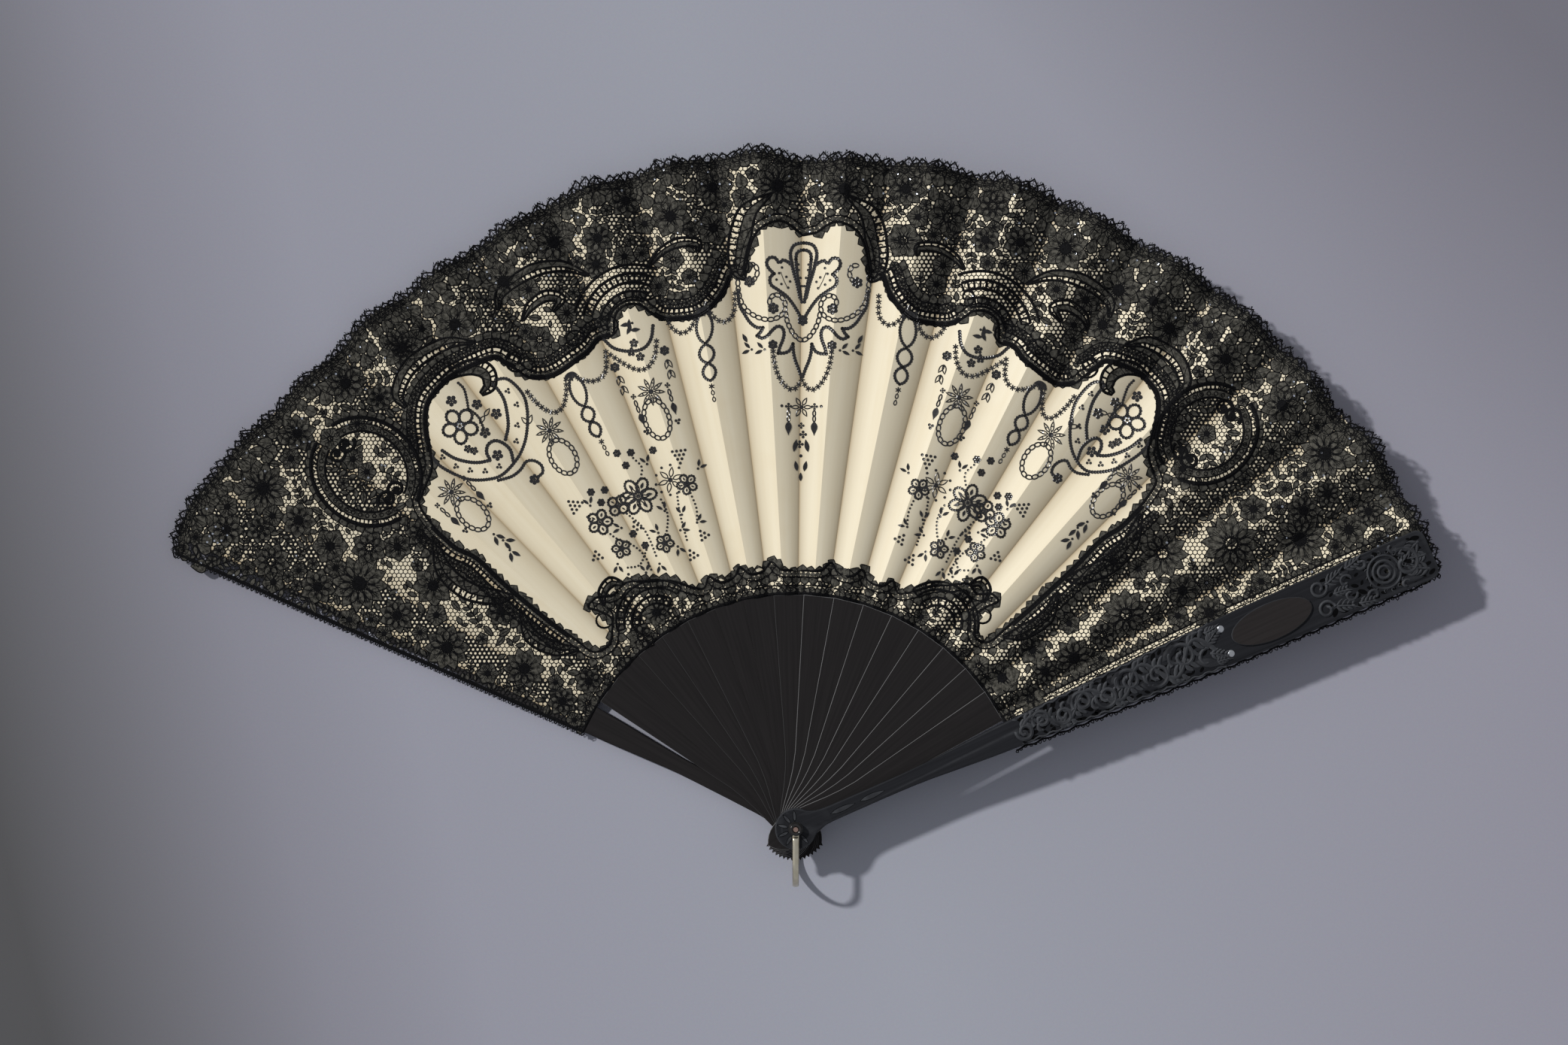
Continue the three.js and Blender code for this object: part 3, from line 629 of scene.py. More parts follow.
# Silk leaf
# One cream satin cloth, pleated. A panel is glued on each rib, and the panel between two ribs
# hangs free, so the thirty-five sheets here meet at its creases and each rides on its own body.
sheet_nodes = []
for k in range(17):
    sheet_nodes += [f"leaf_panel_{k:02d}", f"leaf_fold_{k:02d}"]
sheet_nodes.append("leaf_panel_17")
sheet_count = len(sheet_nodes)


def sheet_corners(node):
    """(bearing, radius, height) of a CAD panel's upper corners, left and right, inner then outer."""
    spots = np.array([v.co[:] for v in frame["nodes"][node].data.vertices]) * 1000
    reach = np.hypot(spots[:, 0], spots[:, 1])
    bearing = np.degrees(np.arctan2(spots[:, 0], spots[:, 1]))
    found = []
    for half in (reach < 200, reach > 300):
        for end in (bearing[half].min(), bearing[half].max()):
            near = half & (np.abs(bearing - end) < 0.05)
            top = np.argmax(np.where(near, spots[:, 2], -1e9))
            found.append((bearing[top], reach[top], spots[top, 2]))
    return found


corners = [sheet_corners(node) for node in sheet_nodes]
crease_radius = (corners[0][0][1], corners[0][2][1])
crease_bearing = np.zeros((2, sheet_count + 1))
crease_height = np.zeros((2, sheet_count + 1))
for i in range(sheet_count + 1):
    sides = ([corners[i - 1][1::2]] if i else []) + ([corners[i][0::2]] if i < sheet_count else [])
    for end in (0, 1):
        crease_bearing[end, i] = np.mean([side[end][0] for side in sides])
        crease_height[end, i] = np.mean([side[end][2] for side in sides])


def creases_at(table, radius):
    share = (np.asarray(radius, float)[..., None] - crease_radius[0]) / (crease_radius[1] - crease_radius[0])
    return table[0] + share * (table[1] - table[0])


def sheet_at(x, y):
    """Which sheet a point of the plan lies on, left to right, and how far across it lies."""
    x, y = np.asarray(x, float), np.asarray(y, float)
    bearing = np.degrees(np.arctan2(x, y))
    lines = creases_at(crease_bearing, np.hypot(x, y))
    i = np.clip((lines <= bearing[..., None]).sum(axis=-1) - 1, 0, sheet_count - 1)
    left = np.take_along_axis(lines, i[..., None], -1)[..., 0]
    right = np.take_along_axis(lines, i[..., None] + 1, -1)[..., 0]
    return i, (bearing - left) / (right - left)


# The cloth bows up a little on the panels over the ribs, and down on the free ones
bow, pleat_slope, valley_notch = 0.6, 0.25, 1.7


def in_plan(bearing, radius):
    lean = np.radians(bearing)
    return np.stack([radius * np.sin(lean), radius * np.cos(lean)], axis=-1)


def pleat_marks(mesh, sheet, x, y):
    """Writes how deep the cloth sinks between its creases there, and how near a valley it lies."""
    lines = creases_at(crease_bearing, np.hypot(x, y))
    share = np.clip((np.degrees(np.arctan2(x, y)) - lines[:, sheet])
                    / (lines[:, sheet + 1] - lines[:, sheet]), 0, 1)
    rising = 1 if crease_height[1, sheet + 1] > crease_height[1, sheet] else -1
    width = np.radians(lines[:, sheet + 1] - lines[:, sheet]) * np.hypot(x, y)
    sunk = rising * pleat_slope * width * (share - 0.5) / 1000
    for name, values in (("pleat", sunk), ("valley", 1 - share if rising > 0 else share)):
        mesh.attributes.new(name, "FLOAT", "POINT").data.foreach_set("value", values.astype(np.float32))


# (bearing, radius) of the scalloped outer edge
outer_edge = [
    (-66.4, 347), (-65, 351.5), (-61, 352), (-58.6, 348.5), (-56, 344.5), (-54.6, 344), (-46.4, 338),
    (-39.8, 339), (-32.5, 337), (-26.1, 339), (-20, 343), (-11, 343), (-3.6, 345), (1, 340), (5.7, 342),
    (13.7, 344), (19.8, 347), (26.3, 346), (30.1, 345), (36.1, 347.5), (42.2, 347), (47.5, 348), (52, 346),
    (55.2, 351), (59.8, 351), (68.6, 350)]


def edge_radius(bearing):
    """The leaf's outer edge, a little longer on the ridges than in the valleys."""
    wave = np.interp(bearing, crease_bearing[1],
                     [0] + [valley_notch * (-1) ** j for j in range(1, sheet_count)] + [0])
    return np.interp(bearing, [b for b, r in outer_edge], [r for b, r in outer_edge]) + wave


satin, nodes, links, shader = new_material("cream silk satin", Roughness=0.5, Sheen_Weight=0.25,
                                           Sheen_Roughness=0.35)
threads = node_of(nodes, "ShaderNodeUVMap", uv_map="cloth")
slub = stretched_noise(nodes, links, threads.outputs["UV"], (260, 9, 1), 6)
age = node_of(nodes, "ShaderNodeTexNoise", Scale=34, Detail=5)
links.new(threads.outputs["UV"], age.inputs["Vector"])
cream = mix_of(nodes, links, slub, (0.69, 0.6, 0.42), (0.8, 0.735, 0.575))
yellowed = range_of(nodes, links, age.outputs["Fac"], 0.55, 0.8, 0, 0.4)
aged = mix_of(nodes, links, yellowed, cream, (0.68, 0.57, 0.38))
# Painted shade: the cream is mixed towards dark brown near each valley crease, most strongly in the last
# tenth before it.
valley = node_of(nodes, "ShaderNodeAttribute", attribute_name="valley")
painted_valley_shade = node_of(nodes, "ShaderNodeFloatCurve")
for x, y in ((0.55, 0.05), (0.85, 0.3), (0.96, 0.62)):
    painted_valley_shade.mapping.curves[0].points.new(x, y)
painted_valley_shade.mapping.curves[0].points[-1].location = (1, 0.95)
painted_valley_shade.mapping.update()
links.new(valley.outputs["Fac"], painted_valley_shade.inputs["Value"])
links.new(mix_of(nodes, links, painted_valley_shade.outputs["Value"], aged, (0.36, 0.27, 0.15)),
          shader.inputs["Base Color"])
shader.inputs["Specular IOR Level"].default_value = 0.3
both = node_of(nodes, "ShaderNodeMath", operation="ADD")
links.new(stretched_noise(nodes, links, threads.outputs["UV"], (4200, 1400, 1), 2), both.inputs[0])
links.new(slub, both.inputs[1])
bump_of(nodes, links, shader, both.outputs[0], 0.35, 6e-5)
pleated = group_of(nodes, pleat_relief)
links.new(pleated.outputs["Normal"], shader.inputs["Normal"].links[0].from_node.inputs["Normal"])

silk_thickness = 0.12
silk_short_of_edge = 3.5
across_steps, along_steps = 6, 24
silk_sheets = []
for i, node in enumerate(sheet_nodes):
    spots, faces = [], []
    for row in range(along_steps + 1):
        down = row / along_steps
        for column in range(across_steps + 1):
            share = column / across_steps
            middle = float(creases_at(crease_bearing, crease_radius[1])[i:i + 2].mean())
            far = float(edge_radius(middle)) - silk_short_of_edge
            radius = crease_radius[0] + down * (far - crease_radius[0])
            lines, heights = creases_at(crease_bearing, radius), creases_at(crease_height, radius)
            bearing = lines[i] + share * (lines[i + 1] - lines[i])
            x, y = in_plan(bearing, radius)
            z = heights[i] + share * (heights[i + 1] - heights[i]) + (-1) ** i * bow * 4 * share * (1 - share)
            spots.append((x / 1000, y / 1000, z / 1000))
    width = across_steps + 1
    for row in range(along_steps):
        for column in range(across_steps):
            a = row * width + column
            faces.append((a, a + 1, a + width + 1, a + width))
    mesh = bpy.data.meshes.new(f"silk_sheet_{i:02d}")
    mesh.from_pydata(spots, [], faces)
    mesh.update()
    cloth = mesh.uv_layers.new(name="cloth")
    for loop in mesh.loops:
        x, y, z = mesh.vertices[loop.vertex_index].co
        radius = math.hypot(x, y)
        lean = math.atan2(x, y) - math.radians(float(crease_bearing[:, i:i + 2].mean()))
        cloth.data[loop.index].uv = (lean * radius + i * 0.031, radius + i * 0.13)
    silk = bpy.data.objects.new(f"silk_sheet_{i:02d}", mesh)
    scene.collection.objects.link(silk)
    pick(silk)
    body_of_cloth = silk.modifiers.new("cloth thickness", "SOLIDIFY")
    body_of_cloth.thickness = silk_thickness / 1000
    body_of_cloth.offset = -1
    bpy.ops.object.modifier_apply(modifier=body_of_cloth.name)
    bpy.ops.object.shade_smooth_by_angle(angle=math.radians(30))
    mesh.materials.append(satin)
    plan = np.array([v.co[:2] for v in mesh.vertices]) * 1000
    pleat_marks(mesh, i, plan[:, 0], plan[:, 1])
    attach(silk, frame["nodes"][node]["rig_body"])
    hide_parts(node)
    silk_sheets.append(silk)
bpy.ops.object.select_all(action="DESELECT")

# Black lace
# Black silk lace lies over the cloth and is sewn to it round a window of bare silk. Its
# ground is a net of six-sided meshes, its flowers and leaves are filled in cloth stitch, and a
# thicker cord outlines them. The border's outer edge ends in a row of small loops.

# The left half of the window's outline, (bearing, radius) from the top middle round to the gorge
window_left = [
    (0.7, 301), (-1.3, 308), (-3.3, 305), (-4.4, 297), (-5.2, 284), (-5.7, 281.5), (-6.4, 284),
    (-7.5, 275), (-9.3, 267), (-11.3, 264), (-14.5, 266.5), (-15.8, 272), (-16.6, 277), (-18, 279),
    (-19.4, 276), (-20.3, 267), (-22, 267.3), (-23.4, 263.7), (-24.9, 262), (-27.9, 260.3), (-29.8, 262.8),
    (-30.9, 267), (-31.4, 272.5), (-32.2, 278.5), (-33, 284), (-36.8, 288), (-38.8, 287.7), (-40.7, 285.8),
    (-42, 281.4), (-43.2, 274.5), (-44.6, 265), (-45.7, 259.6), (-48.3, 255), (-49.6, 252), (-50.4, 240.5),
    (-50.6, 231.5), (-50.6, 223.4), (-49.9, 212.4), (-50.2, 194), (-50.2, 165), (-49.8, 147), (-49.3, 136),
    (-45.8, 132.6), (-43.2, 137), (-41.6, 141.5), (-42.4, 148), (-43.5, 154), (-41, 154.5), (-38.2, 150),
    (-34.9, 151.4), (-30.8, 145.3), (-26.9, 140.4), (-23.4, 132.5), (-21, 130), (-19.1, 134.5),
    (-17.2, 130), (-14, 130.5), (-12.1, 135), (-10.2, 130.5), (-7.2, 131), (-5.2, 135.5), (-3.2, 131),
    (0, 130.5)]
mirror_line, even_to, squeeze = 1.2, 28, 0.75


def mirrored(bearing):
    """A left-hand bearing's place on the right half, where the window is narrower towards its end."""
    away = mirror_line - bearing
    return mirror_line + (away if away < even_to else even_to + (away - even_to) * squeeze)


def seat(bearing, hand):
    return bearing if hand > 0 else mirrored(bearing)


def seated(bearing, radius, hand):
    return in_plan(seat(bearing, hand), radius)


def spline(points, closed=False, steps=6):
    """A smooth line through points of the plan."""
    points = np.asarray(points, float)
    if closed:
        padded = np.vstack([points[-1:], points, points[:2]])
    else:
        padded = np.vstack([2 * points[:1] - points[1:2], points, 2 * points[-1:] - points[-2:-1]])
    share = (np.arange(steps) / steps)[:, None]
    line = []
    for a, b, c, d in zip(padded[:-3], padded[1:-2], padded[2:-1], padded[3:]):
        line.append(0.5 * (2 * b + (c - a) * share + (2 * a - 5 * b + 4 * c - d) * share ** 2
                           + (3 * b - a - 3 * c + d) * share ** 3))
    if not closed:
        line.append(points[-1:])
    return np.vstack(line)


def polar(*points):
    return np.array([in_plan(bearing, radius) for bearing, radius in points])


def window_side(points):
    """One half of the window, smooth between its three sharp turns."""
    turns = (0, 5, 15, 40, len(points) - 1)
    return [spline(polar(*points[a:b + 1]), steps=5) for a, b in zip(turns[:-1], turns[1:])]


left_line = window_side(window_left)
right_line = window_side([(mirrored(b), r) for b, r in window_left])
window = np.vstack([line[:-1] for line in left_line] + [line[::-1][:-1] for line in right_line[::-1]])

# A plan of half-millimetre cells says where lace lies and which spots are taken
cell = 0.5
plot_x, plot_y, plot_w, plot_h = -350.0, 30.0, 1400, 680


def cells_of(points):
    points = np.asarray(points, float)
    column = np.clip(((points[..., 0] - plot_x) / cell).astype(int), 0, plot_w - 1)
    row = np.clip(((points[..., 1] - plot_y) / cell).astype(int), 0, plot_h - 1)
    return row, column


def filled(outline):
    """The plot's cells that lie inside a closed outline."""
    cells = np.zeros((plot_h, plot_w), bool)
    outline = np.asarray(outline, float)
    after = np.roll(outline, -1, axis=0)
    first = max(int((outline[:, 1].min() - plot_y) / cell), 0)
    last = min(int((outline[:, 1].max() - plot_y) / cell) + 1, plot_h - 1)
    for row in range(first, last + 1):
        y = plot_y + (row + 0.5) * cell
        crossed = (outline[:, 1] > y) != (after[:, 1] > y)
        a, b = outline[crossed], after[crossed]
        hits = np.sort(a[:, 0] + (y - a[:, 1]) / (b[:, 1] - a[:, 1]) * (b[:, 0] - a[:, 0]))
        for start, end in zip(hits[0::2], hits[1::2]):
            cells[row, max(int((start - plot_x) / cell), 0):int((end - plot_x) / cell) + 1] = True
    return cells


side_bearings = (-66.3, 68.4)
rim_inset, gorge_inset = 1.2, 0.6
edge_bearings = np.linspace(side_bearings[0], side_bearings[1], 160)
rim = np.array([in_plan(b, edge_radius(b) - rim_inset) for b in edge_bearings])
gorge = np.array([in_plan(b, crease_radius[0] + gorge_inset) for b in edge_bearings[::-1]])
lace_cells = filled(np.vstack([rim, gorge])) & ~filled(window)
taken = ~lace_cells
bare, clothed = np.zeros_like(taken), np.zeros_like(taken)

# Beside the front guard a narrow strip is kept free for plain net
guard_way, guard_across = in_plan(guard_bearing, 1.0), in_plan(guard_bearing + 90, 1.0)
seam = np.linspace(126, 318, 200)
for offset in np.arange(-0.5, 2.6, 0.4):
    spots = seam[:, None] * guard_way - (guard_half_width(seam) + offset)[:, None] * guard_across
    cells = cells_of(np.vstack([spots, (spots[1:] + spots[:-1]) / 2]))
    taken[cells] = True


def empty_parts():
    return [{"spots": [], "faces": [], "kinds": [], "count": 0} for _ in sheet_nodes]


lace_parts, bead_parts = empty_parts(), empty_parts()
cloth_stitch, outline_cord, net_thread = 0, 1, 2


def lay(part, spots, faces, kind):
    start = part["count"]
    part["spots"].append(spots)
    part["faces"].extend([tuple(start + i for i in face) for face in faces])
    part["kinds"].extend([kind] * len(faces))
    part["count"] += len(spots)


def cord(points, width, rise, base=0.08, parts=lace_parts, kind=outline_cord):
    """A three-sided thread along a line of the plan, cut where it crosses a crease."""
    points = np.asarray(points, float)
    steps = np.diff(points, axis=0)
    keep = np.hypot(steps[:, 0], steps[:, 1]) > 1e-4
    points = points[np.concatenate([[True], keep])]
    if len(points) < 2:
        return
    steps = np.diff(points, axis=0)
    steps = steps / np.hypot(steps[:, 0], steps[:, 1])[:, None]
    ways = np.vstack([steps[:1], steps[:-1] + steps[1:], steps[-1:]])
    ways = ways / np.maximum(np.hypot(ways[:, 0], ways[:, 1]), 1e-6)[:, None]
    half = np.broadcast_to(np.asarray(width, float) / 2, len(points))[:, None]
    aside = np.stack([-ways[:, 1], ways[:, 0]], axis=1) * half
    middles = (points[1:] + points[:-1]) / 2
    owner = sheet_at(middles[:, 0], middles[:, 1])[0]
    cuts = [0] + [j for j in range(1, len(owner)) if owner[j] != owner[j - 1]] + [len(owner)]
    for a, b in zip(cuts[:-1], cuts[1:]):
        n = b - a + 1
        spots = np.zeros((n, 3, 3))
        spots[:, 0, :2] = points[a:b + 1] + aside[a:b + 1]
        spots[:, 1, :2] = points[a:b + 1] - aside[a:b + 1]
        spots[:, 2, :2] = points[a:b + 1]
        spots[:, :2, 2] = base
        spots[:, 2, 2] = base + rise
        faces = [(0, 1, 2), (3 * n - 3, 3 * n - 1, 3 * n - 2)]
        for j in range(0, 3 * n - 3, 3):
            faces += [(j, j + 2, j + 5, j + 3), (j + 1, j + 4, j + 5, j + 2), (j, j + 3, j + 4, j + 1)]
        lay(parts[owner[a]], spots.reshape(-1, 3), faces, kind)


crease_ends = []
for i in range(sheet_count + 1):
    crease_ends.append(tuple(in_plan(crease_bearing[end, i], crease_radius[end]) for end in (0, 1)))


def cut_by(outline, start, end, side):
    """The part of an outline on one side of a crease."""
    way = end - start
    away = side * (way[0] * (outline[:, 1] - start[1]) - way[1] * (outline[:, 0] - start[0]))
    kept = []
    for j in range(len(outline)):
        a, b, here, there = outline[j - 1], outline[j], away[j - 1], away[j]
        if (here < 0) != (there < 0):
            kept.append(a + (b - a) * here / (here - there))
        if there >= 0:
            kept.append(b)
    return np.array(kept)


def pad(outline, rise=0.08, base=0.06, parts=lace_parts, kind=cloth_stitch):
    """A thin patch with that outline, cut where it crosses a crease."""
    outline = np.asarray(outline, float)
    after = np.roll(outline, -1, axis=0)
    if (outline[:, 0] * after[:, 1] - after[:, 0] * outline[:, 1]).sum() < 0:
        outline = outline[::-1]
    owner = sheet_at(outline[:, 0], outline[:, 1])[0]
    for sheet in range(owner.min(), owner.max() + 1):
        patch = outline
        if sheet > owner.min():
            patch = cut_by(patch, *crease_ends[sheet], -1)
        if len(patch) > 2 and sheet < owner.max():
            patch = cut_by(patch, *crease_ends[sheet + 1], 1)
        n = len(patch)
        if n < 3:
            continue
        spots = np.zeros((2 * n, 3))
        spots[:n, :2] = spots[n:, :2] = patch
        spots[:n, 2] = base
        spots[n:, 2] = base + rise
        faces = [tuple(range(n, 2 * n)), tuple(range(n - 1, -1, -1))]
        faces += [(j, (j + 1) % n, n + (j + 1) % n, n + j) for j in range(n)]
        lay(parts[sheet], spots, faces, kind)


def turned(points, at, lean):
    """Points drawn with +Y as their axis, turned to a bearing and moved."""
    angle = math.radians(lean)
    x, y = np.asarray(points, float).T
    across, along = x * math.cos(angle) + y * math.sin(angle), -x * math.sin(angle) + y * math.cos(angle)
    return np.stack([across, along], axis=1) + at


def petal(length, width, steps=5, full=0.7):
    share = np.linspace(0, 1, steps + 2)[1:-1]
    half = width / 2 * np.sin(math.pi * share ** full)
    left = np.stack([-half, share * length], axis=1)
    right = np.stack([half, share * length], axis=1)[::-1]
    return np.vstack([[[0, 0]], left, [[0, length]], right])


def patch(outline, thread=0.72, rise=0.16):
    """A cloth-stitch patch with its outlining cord."""
    pad(outline)
    cord(np.vstack([outline, outline[:1]]), thread, rise)
    inner = outline * 0.88 + outline.mean(axis=0) * 0.12
    under = cells_of(np.vstack([inner, outline * 0.5 + outline.mean(axis=0) * 0.5,
                                outline.mean(axis=0)[None]]))
    taken[cells_of(outline)] = taken[under] = clothed[under] = True


def round_of(at, radius, steps=8):
    angle = np.linspace(0, 2 * math.pi, steps, endpoint=False)
    return np.stack([at[0] + radius * np.cos(angle), at[1] + radius * np.sin(angle)], axis=1)


def flower(at, radius, petals, lean, eye=0.22, fat=1.22):
    """A ring of cloth-stitch petals with veins, round a solid or an open heart."""
    at = np.asarray(at, float)
    width = fat * 2 * math.sin(math.pi / petals) * radius * 0.78
    for j in range(petals):
        way = lean + j * 360 / petals
        start = turned([(0, radius * eye)], at, way)[0]
        patch(turned(petal(radius * (1 - eye), width), start, way))
        for spread in (-9, 0, 9) if radius > 7 else (0,) if radius > 3.4 else ():
            cord(turned([(0, 0), (0, radius * 0.5)], start, way + spread), 0.4, 0.1, base=0.14)
    cord(np.vstack([round_of(at, radius * eye, 9)] * 2)[:10], 0.9, 0.18, base=0.1)
    if int(abs(at[0]) * 7) % 4:
        pad(round_of(at, radius * eye, 9), rise=0.2, kind=outline_cord)
    else:
        for turn in (0, 60, 120):
            cord(turned([(0, -radius * eye), (0, radius * eye)], at, turn), 0.42, 0.12, base=0.1)


def leaf(at, length, width, lean, vein=True):
    shape = turned(petal(length, width, full=0.9), at, lean)
    patch(shape)
    if vein and length > 5:
        cord(turned([(0, 0), (0, length * 0.85)], at, lean), 0.4, 0.1, base=0.14)


def sprig(at, length, lean, pairs=3, bend=18):
    """A stem with pairs of leaves and a bud."""
    at = np.asarray(at, float)
    stem = [at]
    way = lean
    for j in range(pairs + 1):
        step = turned([(0, length / (pairs + 1))], stem[-1], way)[0]
        stem.append(step)
        size = length / (pairs + 1) * (1.25 - 0.12 * j)
        for hand in (-1, 1):
            if j < pairs:
                leaf(step, size, size * 0.48, way + hand * 52)
        way += bend / (pairs + 1)
    leaf(stem[-1], length / (pairs + 1) * 1.1, length / (pairs + 1) * 0.5, way)
    cord(spline(stem, steps=3), 0.5, 0.16)


def volute(at, radius, start, turns, hand, width=1.3, shrink=0.75):
    share = np.linspace(0, 1, int(14 * abs(turns)) + 4)
    angle = np.radians(start) + hand * 2 * math.pi * turns * share
    reach = radius * (1 - shrink * share)
    line = np.stack([at[0] + reach * np.sin(angle), at[1] + reach * np.cos(angle)], axis=1)
    cord(line, width * (1 - 0.4 * share), 0.28)
    taken[cells_of(line)] = True
    return line


# The scalloped band that follows the window, with its row of dots and its heavy outline
after = np.roll(window, -1, axis=0)
before = np.roll(window, 1, axis=0)
way = after - before
way = way / np.maximum(np.hypot(way[:, 0], way[:, 1]), 1e-6)[:, None]
outward = np.stack([-way[:, 1], way[:, 0]], axis=1)
if (window[:, 0] * after[:, 1] - after[:, 0] * window[:, 1]).sum() > 0:
    outward = -outward
ring_line = np.vstack([window, window[:1]])
travelled = np.concatenate([[0], np.cumsum(np.hypot(*np.diff(ring_line, axis=0).T))])


def along_window(distance, offset=0.0):
    """Points of the plan that follow the window's outline, set off from it into the lace."""
    edge = window + outward * offset
    return np.stack([np.interp(distance, travelled, np.append(edge[:, axis], edge[0, axis]))
                     for axis in (0, 1)], axis=-1)


def mark_at(bearing, radius):
    away = window - in_plan(bearing, radius)
    return travelled[int(np.argmin(np.hypot(away[:, 0], away[:, 1])))]


def way_between(a, b):
    return math.degrees(math.atan2(b[0] - a[0], b[1] - a[1]))


def spread_on(line, count):
    """That many points, spread over a line by its own points."""
    share, own = np.linspace(0, 1, count), np.linspace(0, 1, len(line))
    return np.stack([np.interp(share, own, line[:, axis]) for axis in (0, 1)], axis=1)


def ladder(near, far, gap=1.9, width=0.5):
    """Rungs between two lines of the plan, as in drawn threadwork."""
    count = max(int(np.hypot(*np.diff(near, axis=0).T).sum() / gap), 2)
    for a, b in zip(spread_on(near, count), spread_on(far, count)):
        cord([a, b], width, 0.14)


def blocked(*lines):
    for line in lines:
        taken[cells_of(even_spots(line, 0.6))] = True


def even_spots(line, gap):
    run = np.concatenate([[0], np.cumsum(np.hypot(*np.diff(line, axis=0).T))])
    count = max(int(round(run[-1] / gap)), 1)
    marks = np.linspace(0, run[-1], count + 1)
    return np.stack([np.interp(marks, run, line[:, 0]), np.interp(marks, run, line[:, 1])], axis=1)


cord(ring_line, 1.5, 0.3)
all_round = np.arange(0, travelled[-1], 0.9)
second = along_window(all_round, 3.4)
cord(second, 0.9, 0.22)
for spot in even_spots(along_window(all_round, 1.9), 2.4):
    pad(round_of(spot, 1.2, 7))
dice = random.Random(11)
bands = []
band_ends = (((-6.5, 284), (-15.6, 271)), ((-20.6, 268), (-30.6, 266)),
             ((-31.6, 273), (-44.4, 266)), ((-50.4, 240), (-50, 150)))
for start, end in band_ends:
    bands.append((mark_at(*start), mark_at(*end)))
    bands.append((mark_at(mirrored(end[0]), end[1]), mark_at(mirrored(start[0]), start[1])))
distance = 0.0
while distance < travelled[-1] - 6:
    a, b = along_window(distance, 3.4), along_window(distance, 8.0)
    if lace_cells[cells_of(b)] and not any(low - 1 < distance < high + 1 for low, high in bands):
        patch(turned(petal(dice.uniform(3.8, 5.4), 4.8, full=0.6), a, way_between(a, b)))
    distance += 4.4
distance = 2.0
while distance < travelled[-1] - 4:
    a, b = along_window(distance, 0.6), along_window(distance, -2.5)
    on_lobe = any(low < distance < high for low, high in bands[:6])
    reach = dice.uniform(1.2, 2.0) if on_lobe else dice.uniform(2.2, 4.6)
    shape = petal(reach, reach * 1.25 + 1.2, full=0.5)
    patch(turned(shape, a, way_between(a, b) + dice.uniform(-25, 25)), thread=0.6)
    distance += dice.uniform(2.6, 4.4) if on_lobe else dice.uniform(3.4, 5.6)
taken |= filled(second) & lace_cells


def scroll_band(low, high):
    """A C-shaped scroll: black rim, open threadwork, a cord, a row of small flowers, a leafy edge."""
    marks = np.arange(low, high, 0.8)
    cord(along_window(marks, 1.0), 2.4, 0.26)
    far = along_window(marks, 6.0)
    cord(far, 1.3, 0.26)
    ladder(along_window(marks, 2.4), far, gap=2.5, width=1.15)
    for depth in (2.6, 3.2, 3.8, 4.4, 5.0):
        bare[cells_of(even_spots(along_window(marks, depth), 0.4))] = True
    third = along_window(marks, 10.4)
    cord(third, 0.9, 0.2)
    for spot in even_spots(along_window(marks, 8.2), 4.4):
        flower(spot, 2.3, 5, dice.uniform(0, 72))
    for spot, beyond in zip(even_spots(third, 4.4), even_spots(along_window(marks, 14.5), 4.4)):
        patch(turned(petal(5.2, 4.8, full=0.6), spot, way_between(spot, beyond)))
    blocked(*(along_window(marks, depth) for depth in (4, 5.5, 7, 8.5, 10, 11.5, 12.8, 14)))


def plume(spine, widths, open_side=1):
    """A curved, tapering scroll between heavy cords, half cloth stitch and half open threadwork."""
    line = spline(spine, steps=5)
    half = np.interp(np.linspace(0, 1, len(line)), np.linspace(0, 1, len(widths)), widths)[:, None] / 2
    way = np.gradient(line, axis=0)
    way = way / np.maximum(np.hypot(way[:, 0], way[:, 1]), 1e-6)[:, None]
    aside = np.stack([-way[:, 1], way[:, 0]], axis=1) * half * open_side
    shut, rib, free = line - aside, line + aside * 0.1, line + aside
    for j in range(len(line) - 1):
        pad([shut[j], shut[j + 1], rib[j + 1], rib[j]])
    cord(np.vstack([shut, free[::-1], shut[:1]]), 1.5, 0.28)
    cord(rib, 0.9, 0.2, base=0.1)
    ladder(rib, free, gap=2.4, width=1.0)
    for j in range(2, len(line) - 2, 4):
        cord([rib[j], shut[j - 2]], 0.45, 0.1, base=0.14)
    for share in (0.3, 0.5, 0.7):
        bare[cells_of(even_spots(rib + (free - rib) * share, 0.4))] = True
    blocked(shut, rib, free, (shut + rib) / 2, (free + rib) / 2)


def arcs(bearing, radius, reaches, lean, span, width=1.5):
    """Bands that arch over one another, with threadwork between them."""
    centre, lines = in_plan(bearing, radius), []
    for reach in reaches:
        angle = np.radians(bearing + lean + np.linspace(-span, span, 22))
        line = np.stack([centre[0] + reach * np.sin(angle), centre[1] + reach * np.cos(angle)], axis=1)
        cord(line, width, 0.28)
        lines.append(line)
    for j, (near, far) in enumerate(zip(lines[:-1], lines[1:])):
        if j % 2 == 0:
            ladder(near, far, gap=2.5, width=1.1)
        blocked(near, far, (near + far) / 2)


